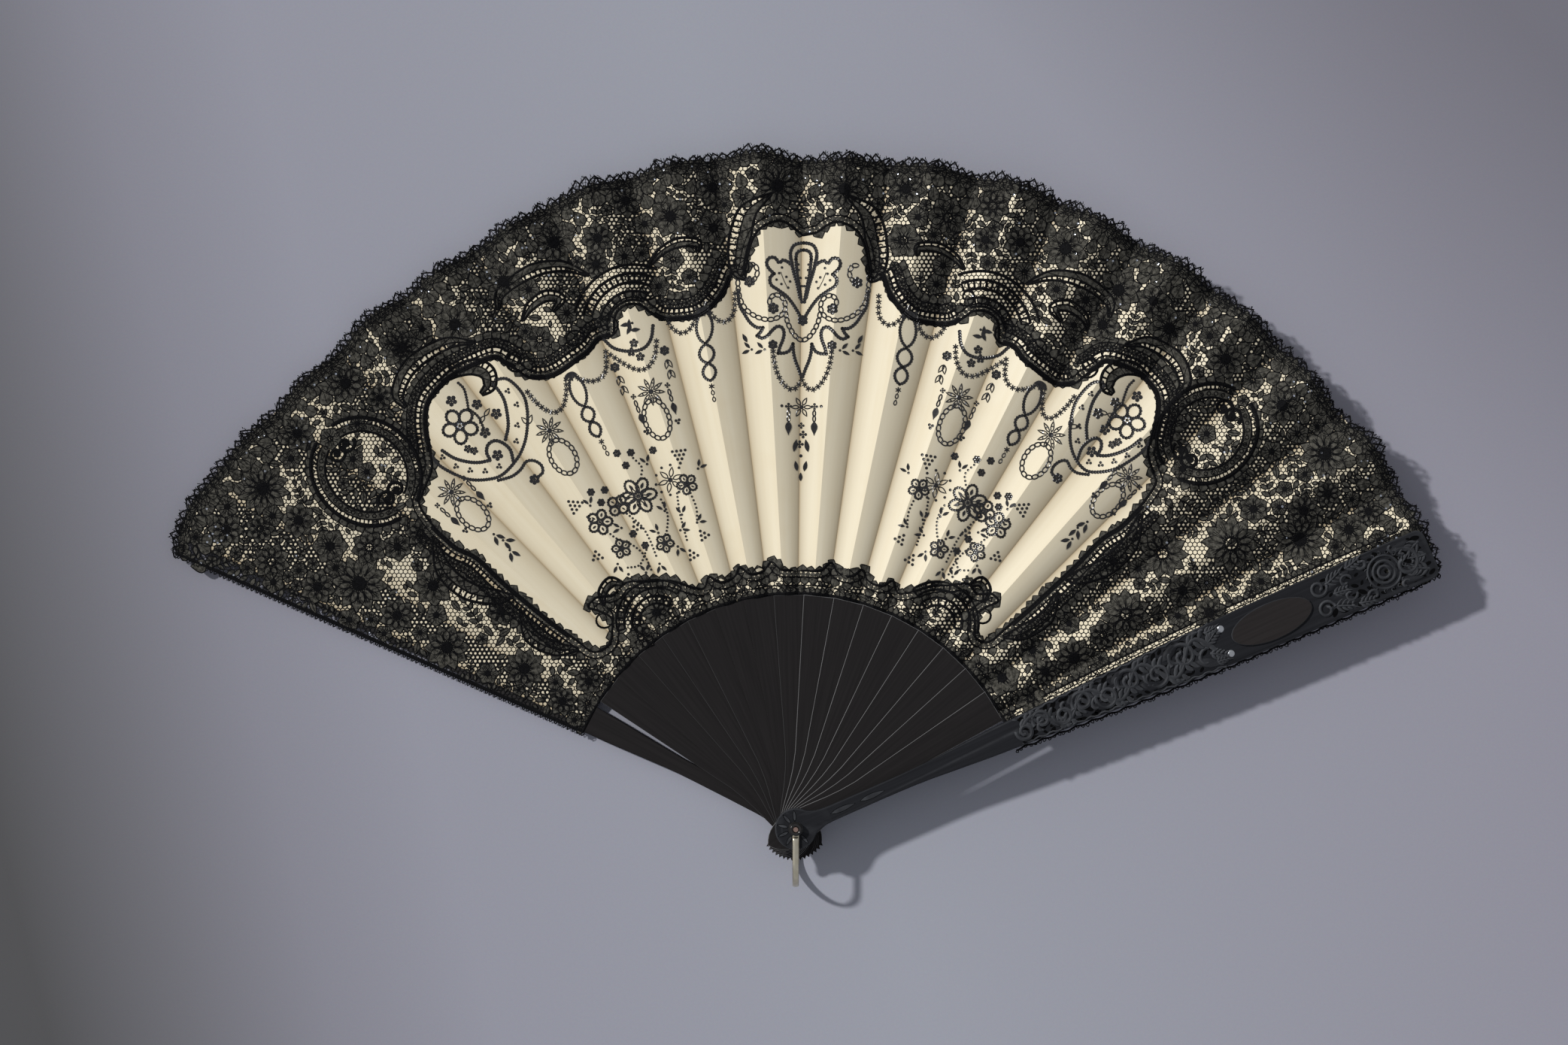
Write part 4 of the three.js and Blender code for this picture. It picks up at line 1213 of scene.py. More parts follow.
# Spine, widths and open side of each plume of the left half
plumes = (
    ([(-2.2, 322), (-4.4, 314), (-5.3, 303), (-5.9, 292), (-5.9, 284), (-5.3, 280)], (1, 9, 11, 9, 6, 1.5),
     -1),
    ([(-38.5, 290), (-36.4, 289), (-34.8, 285), (-34.2, 279), (-34.8, 273.5), (-36, 272.5)],
     (2, 6, 8, 7.5, 6, 2), 1),
    ([(-14.4, 296), (-13.2, 300.5), (-11.4, 303), (-9.6, 301), (-9.6, 297)], (1, 3.6, 4.6, 4, 1.5), 1),
    ([(-28.4, 293), (-27, 297.5), (-25.2, 298.5), (-24, 294), (-25.2, 290)], (1, 4.4, 5.4, 4.6, 1.5), 1),
    ([(-41, 149), (-39.6, 154.5), (-37.2, 156), (-35.6, 152)], (1, 4, 5, 1.5), 1),
    ([(-51.5, 236), (-54, 222), (-54.4, 206), (-52.6, 192), (-51, 186)], (2, 8, 9, 7, 1.5), -1),
    ([(-52, 178), (-54.4, 166), (-53.6, 152), (-51, 143)], (1.5, 7, 7, 1.5), -1),
    ([(-20.6, 300), (-22.6, 309), (-25.4, 313), (-28.8, 311), (-30, 304)], (1, 5, 6.5, 5, 1.5), 1),
    ([(-33.6, 296), (-36, 304), (-39.8, 306), (-42.6, 300), (-43, 292)], (1, 6, 7.5, 6, 1.5), 1))
for low, high in bands:
    scroll_band(low, high)
for hand in (1, -1):
    arcs(seat(-17.9, hand), 268, (13, 17.5, 22, 26.5, 31), -10 * hand, 50)
    arcs(seat(-34, hand), 126, (9, 13, 17, 21), 0, 70)
    for spine, widths, open_side in plumes:
        plume([seated(b, r, hand) for b, r in spine], widths, open_side * hand)

# Medallions in the two shoulders: C-scrolls in cloth stitch with a line of open threadwork, and
# sprigs on the net inside
for at_bearing, at_radius, hand, wide in ((-50.5, 284, 1, 28), (46.2, 288.5, -1, 25.5)):
    centre = in_plan(at_bearing, at_radius)
    for first, last in ((15, 172), (195, 352)):
        angle = np.radians(np.arange(first, last, 5))
        oval_arc = np.stack([hand * np.sin(angle) * 0.94, np.cos(angle) * 1.06], axis=1)
        near, rail, far = (turned(reach * oval_arc, centre, at_bearing)
                           for reach in (wide - 7, wide - 3.2, wide))
        cord(far, 2.4, 0.3)
        cord(rail, 0.8, 0.24, base=0.1)
        cord(near, 1.4, 0.28)
        ladder(rail, far, gap=1.9, width=0.65)
        for share in (0.3, 0.5, 0.7):
            bare[cells_of(even_spots(rail + (far - rail) * share, 0.4))] = True
            clothed[cells_of(even_spots(near + (rail - near) * share, 0.4))] = True
        for j in range(len(angle) - 1):
            pad([near[j], near[j + 1], rail[j + 1], rail[j]])
        for spot in even_spots((near + rail) / 2, 3.6):
            cord(np.vstack([round_of(spot, 1.0, 7)] * 2)[:8], 0.6, 0.14, base=0.12)
        for spot, beyond in zip(even_spots(far, 4.6), even_spots(centre + (far - centre) * 1.2, 4.6)):
            patch(turned(petal(5, 4.8, full=0.6), spot, way_between(spot, beyond)))
        blocked(near, far, (near + far) / 2, centre + (far - centre) * 1.1)
        for end in (near[0], near[-1]):
            eye_at = end + (centre - end) * 0.2
            volute(eye_at, 5, way_between(centre, end) + 90, 1.2, hand, width=2.2)
            pad(round_of(eye_at, 1.9), rise=0.2, kind=outline_cord)
    taken[cells_of(np.vstack([round_of(centre, reach, 40) for reach in range(3, 22, 3)]))] = True
    flower(centre, 5.2, 5, at_bearing)
    for j in range(6):
        way_out = at_bearing + 20 + 60 * j
        sprig(turned([(0, 6.5)], centre, way_out)[0], 12, way_out + 12 * hand, pairs=2, bend=30 * hand)

# Large daisies under the rim and down the two straight ends, and scrolls at the joins of the lobes
daisies = (
    (-22.5, 322, 12, 9), (-28.2, 315, 12, 9), (-34.2, 309, 12, 8), (-39.5, 316, 12, 10),
    (-45.5, 322, 11, 9), (-51.8, 324, 10, 9), (-11.6, 317, 11, 7), (-7.4, 328, 10, 9), (-15.2, 330, 9, 8),
    (-18.6, 316, 9, 8), (25, 324, 12, 9), (31, 318, 12, 9), (36.8, 316, 12, 8), (42.5, 322, 11, 9),
    (14, 319, 11, 7), (9.8, 329, 10, 9), (17.6, 331, 9, 8), (21, 318, 9, 8), (-1.6, 326, 13, 12),
    (4.4, 325, 12, 11), (49, 326, 11, 9))
side_daisies = (
    (-61, 255, 15, 12), (-57.7, 322, 14, 12), (-63, 200, 12, 10), (-60, 160, 11, 10), (-56.5, 222, 11, 8),
    (-63.3, 300, 10, 9), (56.8, 263, 15, 12), (53.2, 232, 13, 11), (57, 199, 13, 11), (58.6, 165, 11, 10),
    (60.2, 294, 14, 12), (54.7, 328, 13, 11), (-52, 243, 8, 8), (50, 210, 8, 8), (62.5, 236, 9, 9),
    (-54, 186, 8, 7), (53, 150, 8, 7), (-62, 135, 8, 8), (61, 136, 8, 8))
lobe_scrolls = ((-5.7, 287, 5.5, 180, 1.2, -1), (-20.6, 273, 6.5, 200, 1.2, -1),
                (-15.5, 283, 5, 150, 1.1, 1), (-31, 277, 6.5, 160, 1.2, 1), (-8.6, 276, 6, 90, 1.1, 1),
                (-24.5, 272, 6, 120, 1.1, -1), (-43, 144, 6, 60, 1.3, 1))
for b, r, radius, petals in daisies + side_daisies:
    flower(in_plan(b, r), radius, petals, b + 7)
for b, r, radius, start, turns, hand in lobe_scrolls:
    volute(in_plan(b, r), radius, start + b, turns, hand)
    volute(in_plan(mirrored(b), r), radius, mirrored(b) - start, turns, -hand)

# Overlapping leaves and petals fill the last centimetres under the rim
rim_line = spline(rim[::3], steps=8)
rim_run = np.concatenate([[0], np.cumsum(np.hypot(*np.diff(rim_line, axis=0).T))])


def rim_at(distance):
    """Bearing and radius of the rim at a distance along it."""
    x, y = (np.interp(distance, rim_run, ordinate) for ordinate in rim_line.T)
    return math.degrees(math.atan2(x, y)), math.hypot(x, y)


for depth, length, width, gap in ((17.5, 8.5, 6.6, 7.4), (11.5, 8.5, 6.8, 6.2), (6.8, 7.2, 6.4, 5.4)):
    for distance in np.arange(gap * depth % 3, rim_run[-1], gap):
        b, r = rim_at(distance)
        if dice.random() < 0.14:
            continue
        start = in_plan(b, r - depth + dice.uniform(-1.2, 1.2))
        lean = b + dice.uniform(-38, 38)
        patch(turned(petal(length, width * dice.uniform(0.8, 1.1), full=0.65), start, lean))
        cord(turned([(0, 1), (0, length * 0.8)], start, lean), 0.28, 0.1, base=0.14)

# Smaller flowers, sprigs and leaves fill what is left, the largest first
open_net = [(-10, 293, 7), (12.4, 293, 7), (-26, 285, 6), (28, 285, 6), (-57.3, 268, 5), (-57, 240, 5),
            (55, 245, 5), (-60, 180, 5), (56, 182, 5), (-24.5, 303, 4), (27, 303, 4)]
for b, r, radius in open_net:
    for share in (0.3, 0.6, 0.95):
        taken[cells_of(round_of(in_plan(b, r), radius * share, 24))] = True


def is_free(at, radius):
    rings = [round_of(at, radius * share, 10) for share in (0.35, 0.7, 1.0)]
    return not taken[cells_of(np.vstack(rings + [np.asarray(at)[None]]))].any()


fillings = ((10, 500), (8, 1200), (6.2, 3000), (4.6, 6000), (3.4, 9000), (2.5, 14000), (1.7, 16000))
for radius, tries in fillings:
    for _ in range(tries):
        b = dice.uniform(*side_bearings)
        low = 120 if dice.random() < 0.5 else 255
        r = math.sqrt(dice.uniform(low ** 2, 345 ** 2))
        kind, lean = dice.random(), dice.uniform(0, 360)
        at = in_plan(b, r)
        # On the sheets that face the lamp, half the small pieces are left out so that those sheets stay
        # lighter: painted light by pattern density.
        if not is_free(at, radius * 0.66) or (radius < 5 and sheet_at(*at)[0] % 2 and dice.random() < 0.5):
            continue
        start = turned([(0, -radius * 0.85)], at, lean)[0]
        if radius > 7.5:
            if kind < 0.55:
                flower(at, radius * 0.95, dice.choice((6, 7, 8, 9)), lean)
            else:
                sprig(start, radius * 1.55, lean, pairs=3, bend=dice.uniform(-25, 25))
        elif radius > 4:
            if kind < 0.5:
                flower(at, radius * 0.95, dice.choice((5, 5, 6)), lean)
            else:
                sprig(start, radius * 1.45, lean, pairs=2, bend=dice.uniform(-30, 30))
        elif radius > 3:
            if kind < 0.35:
                flower(at, radius * 0.95, 5, lean)
            else:
                leaf(turned([(0, -radius)], at, lean)[0], radius * 2, radius * 0.9, lean)
        else:
            leaf(turned([(0, -radius)], at, lean)[0], radius * 2, radius * 0.95, lean, vein=False)
        taken[cells_of(round_of(at, radius * 0.5, 12))] = True

# The net: six-sided meshes, left out under the cloth stitch. Its threads are drawn thinner on the
# panels that face the lamp, thicker on those that slope away from it, and thickest near each valley:
# painted light and shade by thread width.
mesh_width, net_half_width, net_base, net_top = 2.3, 0.285, 0.04, 0.13
side = mesh_width / math.sqrt(3)
columns, rows = int(720 / mesh_width), int(330 / (1.5 * side))
grid_column, grid_row = np.meshgrid(np.arange(columns), np.arange(rows))
hub_x = plot_x + (grid_column + 0.5 * (grid_row % 2)) * mesh_width
hub_y = 40 + grid_row * 1.5 * side
for angle, other in ((30, 90), (90, 150), (150, 210)):
    ends = []
    for turn in (angle, other):
        x, y = hub_x + side * np.cos(np.radians(turn)), hub_y + side * np.sin(np.radians(turn))
        ends.append(np.stack([x, y], axis=-1).reshape(-1, 2))
    a, b = ends
    middle = (a + b) / 2
    owner, share = sheet_at(middle[:, 0], middle[:, 1])
    wanted = lace_cells[cells_of(middle)] & ~bare[cells_of(middle)] & ~clothed[cells_of(middle)]
    a, b, owner, share = a[wanted], b[wanted], owner[wanted], share[wanted]
    shaded_sheet_width = np.interp(share, [0.1, 0.3, 1], [1.0, 1.65, 2.2])
    lit_sheet_width = np.interp(share, [0, 0.15], [1.5, 0.85])
    painted_shade_width = np.where(owner % 2 == 0, shaded_sheet_width, lit_sheet_width)
    way = (b - a) / side
    aside = np.stack([-way[:, 1], way[:, 0]], axis=1) * net_half_width * painted_shade_width[:, None]
    for sheet in range(sheet_count):
        mine = owner == sheet
        n = int(mine.sum())
        if not n:
            continue
        spots = np.zeros((n, 6, 3))
        for corner, end in ((0, a[mine]), (3, b[mine])):
            spots[:, corner, :2] = end + aside[mine]
            spots[:, corner + 1, :2] = end - aside[mine]
            spots[:, corner + 2, :2] = end
        spots[:, :, 2] = net_base
        spots[:, [2, 5], 2] = net_top
        first = np.arange(n)[:, None] * 6
        thread_faces = ((0, 2, 5, 3), (1, 4, 5, 2), (0, 3, 4, 1))
        faces = np.concatenate([first + np.array(face) for face in thread_faces]).tolist()
        lay(lace_parts[sheet], spots.reshape(-1, 3), faces, net_thread)

# Looped edges: a heavy thread along the rim and the gorge, small loops outside the rim
for offset, width in ((-1.2, 0.7), (-3.6, 0.6)):
    cord(np.array([p * (1 + offset / np.hypot(*p)) for p in rim_line]), width, 0.2)
gorge_line = np.array([in_plan(b, crease_radius[0] + 0.4) for b in edge_bearings])
cord(gorge_line, 1.7, 0.25)
cord(np.array([p * (1 + 4.1 / np.hypot(*p)) for p in gorge_line]), 0.6, 0.2)
for spot in even_spots(gorge_line, 3.1):
    b = math.degrees(math.atan2(*spot))
    patch(turned(petal(dice.uniform(2.6, 3.9), 3.0, full=0.6), spot * 1.004, b + dice.uniform(-30, 30)))
for distance in np.arange(3, rim_run[-1], 4.4):
    b, r = rim_at(distance)
    shape = petal(dice.uniform(4.6, 6.2), 5.6, full=0.5)
    patch(turned(shape, in_plan(b, r - 4.6), b + dice.uniform(-18, 18)))
for distance in np.arange(1, rim_run[-1], 4.0):
    b, r = rim_at(distance + dice.uniform(-0.9, 0.9))
    start, lean = in_plan(b, r - 3.0), b + dice.uniform(-22, 22)
    reach = 6.2 + 0.8 * math.sin(distance * 0.29) + dice.uniform(-1.1, 0.9)
    shape = turned(petal(reach, 6.8, full=0.5), start, lean)
    cord(np.vstack([shape, shape[:1]]), 0.8, 0.16)
    for spread in (-20, 0, 20):
        cord(turned([(0, 0), (0, reach * 0.95)], start, lean + spread), 0.3, 0.12)
    for share in (0.4, 0.62, 0.84):
        chevron = [(-3 * share, reach * share * 0.86), (0, reach * share), (3 * share, reach * share * 0.86)]
        cord(turned(chevron, start, lean), 0.3, 0.12)
    for _ in range(3):
        root = turned([(dice.uniform(-1.8, 1.8), reach - 0.7)], start, lean)[0]
        end = turned([(0, dice.uniform(0.8, 1.5))], root, lean + dice.uniform(-40, 40))[0]
        cord([root, end], np.array([0.45, 0.3]), 0.14)
for b in side_bearings:
    end = np.array([in_plan(b, r) for r in np.linspace(crease_radius[0], edge_radius(b) - 1, 90)])
    cord(end, 2.0, 0.22)
    outwards = b + (90 if b > 0 else -90)
    for spot in end:
        loop = turned(petal(2.2, 1.7, steps=4, full=0.6), spot, outwards + dice.uniform(-15, 15))
        cord(np.vstack([loop, loop[:1]]), 0.6, 0.14, base=0.06)

# The leaf's last end shows past both long edges of the front guard, as a strip of net with loops
strip = np.linspace(118, 338, 150)
half_wide = guard_half_width(strip)
edge_far = strip[:, None] * guard_way + (half_wide + 0.9 + 0.4 * np.sin(strip * 0.7))[:, None] * guard_across
upper_edge = strip[:, None] * guard_way - (half_wide + 3.0)[:, None] * guard_across
cord(upper_edge, 1.0, 0.2)
cord(strip[:, None] * guard_way - (half_wide + 0.9)[:, None] * guard_across, 0.5, 0.2)
cord(edge_far, 1.0, 0.2)
for spot in even_spots(edge_far, 2.6):
    shape = petal(dice.uniform(0.8, 1.9), 1.6, steps=4, full=0.6)
    loop = turned(shape, spot, guard_bearing + 90 + dice.uniform(-40, 40))
    cord(np.vstack([loop, loop[:1]]), 0.5, 0.16, base=0.06)
for spot in even_spots(upper_edge, 3.3):
    patch(turned(petal(3.4, 3.2, full=0.55), spot, guard_bearing - 90 + dice.uniform(-15, 15)))
    if dice.random() < 0.75:
        shape = petal(dice.uniform(1.2, 2.4), 2.2, steps=4, full=0.6)
        loop = turned(shape, spot, guard_bearing + 90 + dice.uniform(-30, 30))
        cord(np.vstack([loop, loop[:1]]), 0.5, 0.14)


def lace_material(name, dark, light, rough, scale):
    material, nodes, links, shader = new_material(name, Roughness=rough)
    twist = pattern_of(nodes, links, "ShaderNodeTexNoise", Scale=scale, Detail=3)
    shade = range_of(nodes, links, twist.outputs["Fac"], 0.35, 0.65)
    links.new(mix_of(nodes, links, shade, dark, light), shader.inputs["Base Color"])
    bump_of(nodes, links, shader, twist.outputs["Fac"], 0.4, 6e-5)
    pleated = group_of(nodes, pleat_relief)
    links.new(pleated.outputs["Normal"], shader.inputs["Normal"].links[0].from_node.inputs["Normal"])
    shader.inputs["Specular IOR Level"].default_value = 0.05
    return material


cloth_stitch_black = lace_material("cloth stitch in black silk", (0.018, 0.0175, 0.0155),
                                   (0.092, 0.088, 0.075), 0.8, 600)
cord_black = lace_material("black outlining cord", (0.0015, 0.0015, 0.002), (0.007, 0.007, 0.008), 0.7, 1800)
net_black = lace_material("black silk net", (0.004, 0.004, 0.0045), (0.016, 0.016, 0.016), 0.6, 1200)


def mesh_of(part, name, sheet, materials):
    """The laid stitches of one sheet as one piece, lifted onto the silk."""
    spots = np.concatenate(part["spots"])
    spots[:, 2] += leaf_on(sheet, spots[:, 0], spots[:, 1])
    mesh = bpy.data.meshes.new(name)
    mesh.from_pydata((spots / 1000).tolist(), [], part["faces"])
    mesh.polygons.foreach_set("material_index", part["kinds"])
    for material in materials:
        mesh.materials.append(material)
    mesh.update()
    pleat_marks(mesh, sheet, spots[:, 0], spots[:, 1])
    piece = bpy.data.objects.new(name, mesh)
    scene.collection.objects.link(piece)
    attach(piece, frame["nodes"][sheet_nodes[sheet]]["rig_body"])
    return piece


def leaf_on(sheet, x, y):
    """Height of one sheet's upper face, carried on past its creases."""
    lines = creases_at(crease_bearing, np.hypot(x, y))
    heights = creases_at(crease_height, np.hypot(x, y))
    share = (np.degrees(np.arctan2(x, y)) - lines[:, sheet]) / (lines[:, sheet + 1] - lines[:, sheet])
    inside = np.clip(share, 0, 1)
    level = heights[:, sheet] + share * (heights[:, sheet + 1] - heights[:, sheet])
    return level + (-1) ** sheet * bow * 4 * inside * (1 - inside)


lace_pieces = [mesh_of(part, f"lace_{i:02d}", i, (cloth_stitch_black, cord_black, net_black))
               for i, part in enumerate(lace_parts)]

# Beadwork on the bare silk
# Garlands, drops and sprays are sewn on the window in black sequins and jet: rows of sequins for
# the outlines, chains of little links, stars, and flat leaves. A few silvered sequins catch light.
bead_spots, jet_kind, silver_kind = [], 0, 1


def jet_thread(line, width, rise=0.22):
    cord(line, width, rise, parts=bead_parts, kind=jet_kind)


def path(hand, *points):
    return np.array([seated(b, r, hand) for b, r in points])


def sequin(spot, size=2.0, kind=jet_kind):
    bead_spots.append((spot[0], spot[1], size, kind))


def bead_row(line, size=2.0, gap=1.4):
    for spot in even_spots(np.asarray(line, float), gap):
        sequin(spot, size)


def beads_along(hand, *points, size=2.0, closed=False):
    bead_row(spline(path(hand, *points), closed=closed, steps=8), size)


def jet_leaf(at, length, width, lean):
    shape = turned(petal(length, width, steps=4, full=0.9), at, lean)
    pad(shape, rise=0.2, base=0.08, parts=bead_parts, kind=jet_kind)


def open_leaf(at, length, width, lean, thread=0.6):
    shape = turned(petal(length, width, steps=4, full=0.8), at, lean)
    jet_thread(np.vstack([shape, shape[:1]]), thread)


def link_along(line, gap=3.2, width=2.1, thread=0.72):
    spots = even_spots(line, gap)
    for a, b in zip(spots[:-1], spots[1:]):
        angle = np.linspace(0, 2 * math.pi, 11)
        ring = np.stack([width / 2 * np.sin(angle), gap * 0.56 * np.cos(angle)], axis=1)
        jet_thread(turned(ring, (a + b) / 2, way_between(a, b)), thread)


def star(at, size=1.55, lean=0.0):
    for j in range(6):
        tip = turned([(0, size)], at, lean + 60 * j)[0]
        jet_thread([at, tip], np.array([0.8, 0.55]))


def stars_along(line, gap=2.7, size=1.5):
    for j, spot in enumerate(even_spots(line, gap)):
        star(spot, size, 13 * j)


def knot(at, size=2.6, petals=5, lean=0.0):
    """A small flower: a ring of sequins round one in the middle."""
    for j in range(petals):
        sequin(turned([(0, size * 0.58)], at, lean + 360 * j / petals)[0], size * 0.72)
    sequin(at, size * 0.5)


def vesica_flower(at, radius, petals=8, lean=0.0):
    """Open pointed petals of jet thread round a sequin."""
    for j in range(petals):
        way = lean + 360 * j / petals
        open_leaf(turned([(0, radius * 0.22)], at, way)[0], radius * 0.78, radius * 1.9 / petals, way)
    sequin(at, radius * 0.4)


def beaded_flower(at, radius, petals=5, lean=0.0, size=1.5, vein=True):
    """Petals outlined with sequins."""
    for j in range(petals):
        way = lean + 360 * j / petals
        angle = np.linspace(0, 2 * math.pi, 25)
        ring = np.stack([radius * 1.75 / petals * np.sin(angle), radius * 0.4 * np.cos(angle)], axis=1)
        bead_row(turned(ring, turned([(0, radius * 0.6)], at, way)[0], way), size, size * 0.8)
        if vein:
            jet_leaf(turned([(0, radius * 0.42)], at, way)[0], radius * 0.36, radius * 0.16, way)
        else:
            sequin(turned([(0, radius * 0.14)], at, way)[0], 1.1, silver_kind)
    sequin(at, 1.4)


def drop(at, length, lean):
    shape = turned(petal(length, length * 0.46, steps=5, full=1.4), at, lean)
    pad(shape, rise=0.22, base=0.08, parts=bead_parts, kind=jet_kind)


def clover(at, lean, size=1.5):
    for j in range(3):
        sequin(turned([(0, 0.95)], at, lean + 120 * j)[0], size)


def leaf_pair(at, lean, length=4.0, spread=34):
    """A pair of jet leaves on a short stalk with a sequin at its end."""
    for side_way in (-1, 1):
        jet_leaf(turned([(0.5 * side_way, 0)], at, lean)[0], length, length * 0.4, lean + side_way * spread)
    sequin(turned([(0, -1.1)], at, lean)[0], 1.4)


# The palmette in the middle, with its chains, zigzag cords and pendant
middle_bearing = 0.8


def middle(points, hand=1):
    return turned([(hand * u, v) for u, v in points], (0, 0), middle_bearing)


palmette_rows = (
    [(-6.6, 289), (-6.6, 292.4), (-5.1, 295.5), (-2.6, 296.7), (0, 297)],
    [(-3.9, 288.6), (-3.6, 291.4), (-2.1, 293), (0, 293.4)],
    [(-3.9, 288.6), (-3.3, 282), (-2.1, 275.4), (-0.7, 267)],
    [(-6.6, 289.6), (-5.7, 285.5), (-7.8, 287), (-10.4, 288), (-12.4, 286.6), (-14.4, 289), (-17.3, 289),
     (-18.8, 286.4), (-17.6, 283.6), (-14.9, 281)],
    [(-14.9, 281), (-16.9, 278.8), (-16.3, 275.3), (-12.9, 272.9), (-8.4, 269.7), (-5, 265.6),
     (-2.3, 261.4), (-0.3, 257.7)], [(-6.3, 287.6), (-4.9, 281.8), (-3.2, 276.2), (-1.6, 269.3)])
palmette_sequins = ((-12.3, 281.3), (-10.9, 284.2), (-8.6, 279.5), (-6.7, 277.2), (-7.6, 274),
                    (-11.1, 275.8), (-13.6, 278), (-2.4, 283.2), (-1.4, 279.2), (-0.6, 275), (-2.6, 286))
pendant_rows = (
    [(-33.2, 272.5), (-32.3, 265.1), (-29.6, 260.3), (-26.8, 256.2), (-23.4, 253.7), (-20.2, 253.5)],
    [(-20.2, 253.5), (-21.3, 251.4), (-23.1, 249.4)],
    [(-23.1, 249.4), (-20.6, 248.2), (-17.9, 249.4), (-15.6, 252), (-12.9, 254.2), (-10.4, 253.6),
     (-9.4, 250.8), (-10, 247.3), (-11.4, 243.8), (-12.2, 240.6)],
    [(-12.2, 240.6), (-9, 240.8), (-6.4, 242.2), (-4.8, 245.5)],
    [(-4.8, 245.5), (-4.5, 241.5), (-3.5, 237.2), (-1.7, 232.7), (-0.4, 229)])
palmette_chains = (
    [(-27.9, 285.7), (-25.1, 285.9), (-23.2, 282.7), (-24, 279), (-26.3, 276.9)],
    [(-33.3, 281), (-33.2, 274.4), (-32, 267.9), (-29, 262.8), (-24.6, 259.6), (-19.4, 257.7),
     (-14.4, 257.9), (-10.7, 260), (-8.9, 263.3), (-9.5, 267.7), (-12.4, 270.3), (-15.7, 270.1),
     (-17.3, 267.2), (-17.1, 265.4)],
    [(-8.9, 261.8), (-7.9, 256.8), (-5.4, 251.7), (-2.6, 248.4), (0, 247.2)])
for hand in (1, -1):
    for line in palmette_rows:
        bead_row(spline(middle(line, hand), steps=8))
    for u, v in palmette_sequins:
        sequin(middle([(u, v)], hand)[0], 1.4)
    jet_thread(spline(middle([(-8, 274), (-10, 278), (-11.5, 282)], hand), steps=4), 0.35, 0.18)
    for line in palmette_chains:
        link_along(spline(middle(line, hand), steps=6))
    knot(middle([(-15, 263.4)], hand)[0], 3.2, 6)
    knot(middle([(-27.4, 277)], hand)[0], 3.2, 6)
    for line in pendant_rows:
        bead_row(spline(middle(line, hand), steps=8))
    stars_along(spline(middle([(-14.8, 241.5), (-14.2, 236.4), (-12.7, 230.9), (-10.1, 226), (-6.9, 222.9),
                               (-4.1, 222.4), (-1.7, 224.6), (0, 227.2)], hand), steps=6))
    knot(middle([(-15, 244.9)], hand)[0], 2.8, 6)
    for u in (-18.8, -25.4):
        leaf_pair(middle([(u - 1.4, 242.6)], hand)[0], middle_bearing - hand * 80, 4.3, 36)
    jet_leaf(middle([(-28.2, 246)], hand)[0], 5, 2, middle_bearing - hand * 28)
    knot(middle([(-6.6, 213.7)], hand)[0], 2, 4)
    sequin(middle([(-10, 213.9)], hand)[0], 1.6)
    link_along(middle([(-6.5, 211.6), (-6.5, 206.2)], hand), gap=2.6, width=1.4)
    drop(middle([(-6.5, 198.9)], hand)[0], 7.4, middle_bearing)
    jet_leaf(middle([(-3.6, 190.6)], hand)[0], 6.6, 2.4, middle_bearing + hand * 12)
    jet_leaf(middle([(-1.7, 180.8)], hand)[0], 5.4, 2.1, middle_bearing - hand * 12)
knot(middle([(0, 257.5)])[0], 3, 6)
vesica_flower(middle([(0, 213.4)])[0], 5.4, 6, 30)
knot(middle([(0, 204)])[0], 1.8, 4)
knot(middle([(1, 199.5)])[0], 2.2, 4)
knot(middle([(-0.6, 194.5)])[0], 2.2, 4)
sequin(middle([(0, 188.6)])[0], 1.8)
jet_leaf(middle([(0, 175.8)])[0], 4.4, 1.8, middle_bearing)


def beaded_loops(hand, *levels, tail):
    """Hanging beaded loops, each smaller than the one above, ending in a star and two small links."""
    for top, bottom, width in levels:
        share = np.linspace(0, 1, 13)
        half = width / 2 * np.sin(math.pi * share) ** 0.62
        axis_b, axis_r = (np.interp(share, [0, 1], [top[axis], bottom[axis]]) for axis in (0, 1))
        for side_way in (-1, 1):
            spine = path(hand, *zip(axis_b, axis_r))
            lean = np.radians(seat(top[0], hand))
            aside = half[:, None] * np.array([math.cos(lean), -math.sin(lean)])
            bead_row(spine + side_way * aside, 1.75, 1.35)
    b, r = levels[-1][1]
    star(seated(b, r - 3, hand), 1.5)
    for step in (6.2, 9.6):
        if r - step > tail:
            at = seated(b, r - step, hand)
            open_leaf(turned([(0, -1.4)], at, seat(b, hand))[0], 2.8, 1.5, seat(b, hand))


def oval_pendant(b, r, hand, loop_at, half_long, drops=True):
    """A rosette with a chain loop below it and, on each side, a link chain that ends in a jet drop."""
    centre = seated(b, r, hand)
    vesica_flower(centre, 7.2, 9, 11)
    for j in range(9):
        sequin(turned([(0, 4.4)], centre, 11 + 40 * j)[0], 0.9, silver_kind if j in (3, 7) else jet_kind)
    angle = np.linspace(0, 2 * math.pi, 25)
    lean = seat(loop_at[0], hand)
    loop = np.stack([6.3 * np.sin(angle), half_long * np.cos(angle)], axis=1)
    link_along(turned(loop, in_plan(lean, loop_at[1]), lean))
    for side_b in (b - 2.3, b + 2.2) if drops else ():
        lean = seat(side_b, hand)
        knot(in_plan(lean, r + 0.6), 1.6, 4)
        link_along(path(hand, (side_b, r - 1.5), (side_b, r - 8)), gap=2.8, width=1.4)
        drop(in_plan(lean, r - 15), 6.6, lean)
        clover(in_plan(lean, r - 18.5), lean + 180, 1.6)


def bead_cluster(b, r, hand, lean, rows):
    """A triangle of sequins, as a bunch of berries."""
    at = seated(b, r, hand)
    for j in range(rows):
        for k in range(j + 1):
            sequin(turned([((k - j / 2) * 2.2, j * 2.1)], at, seat(b, hand) + hand * lean)[0], 1.6)


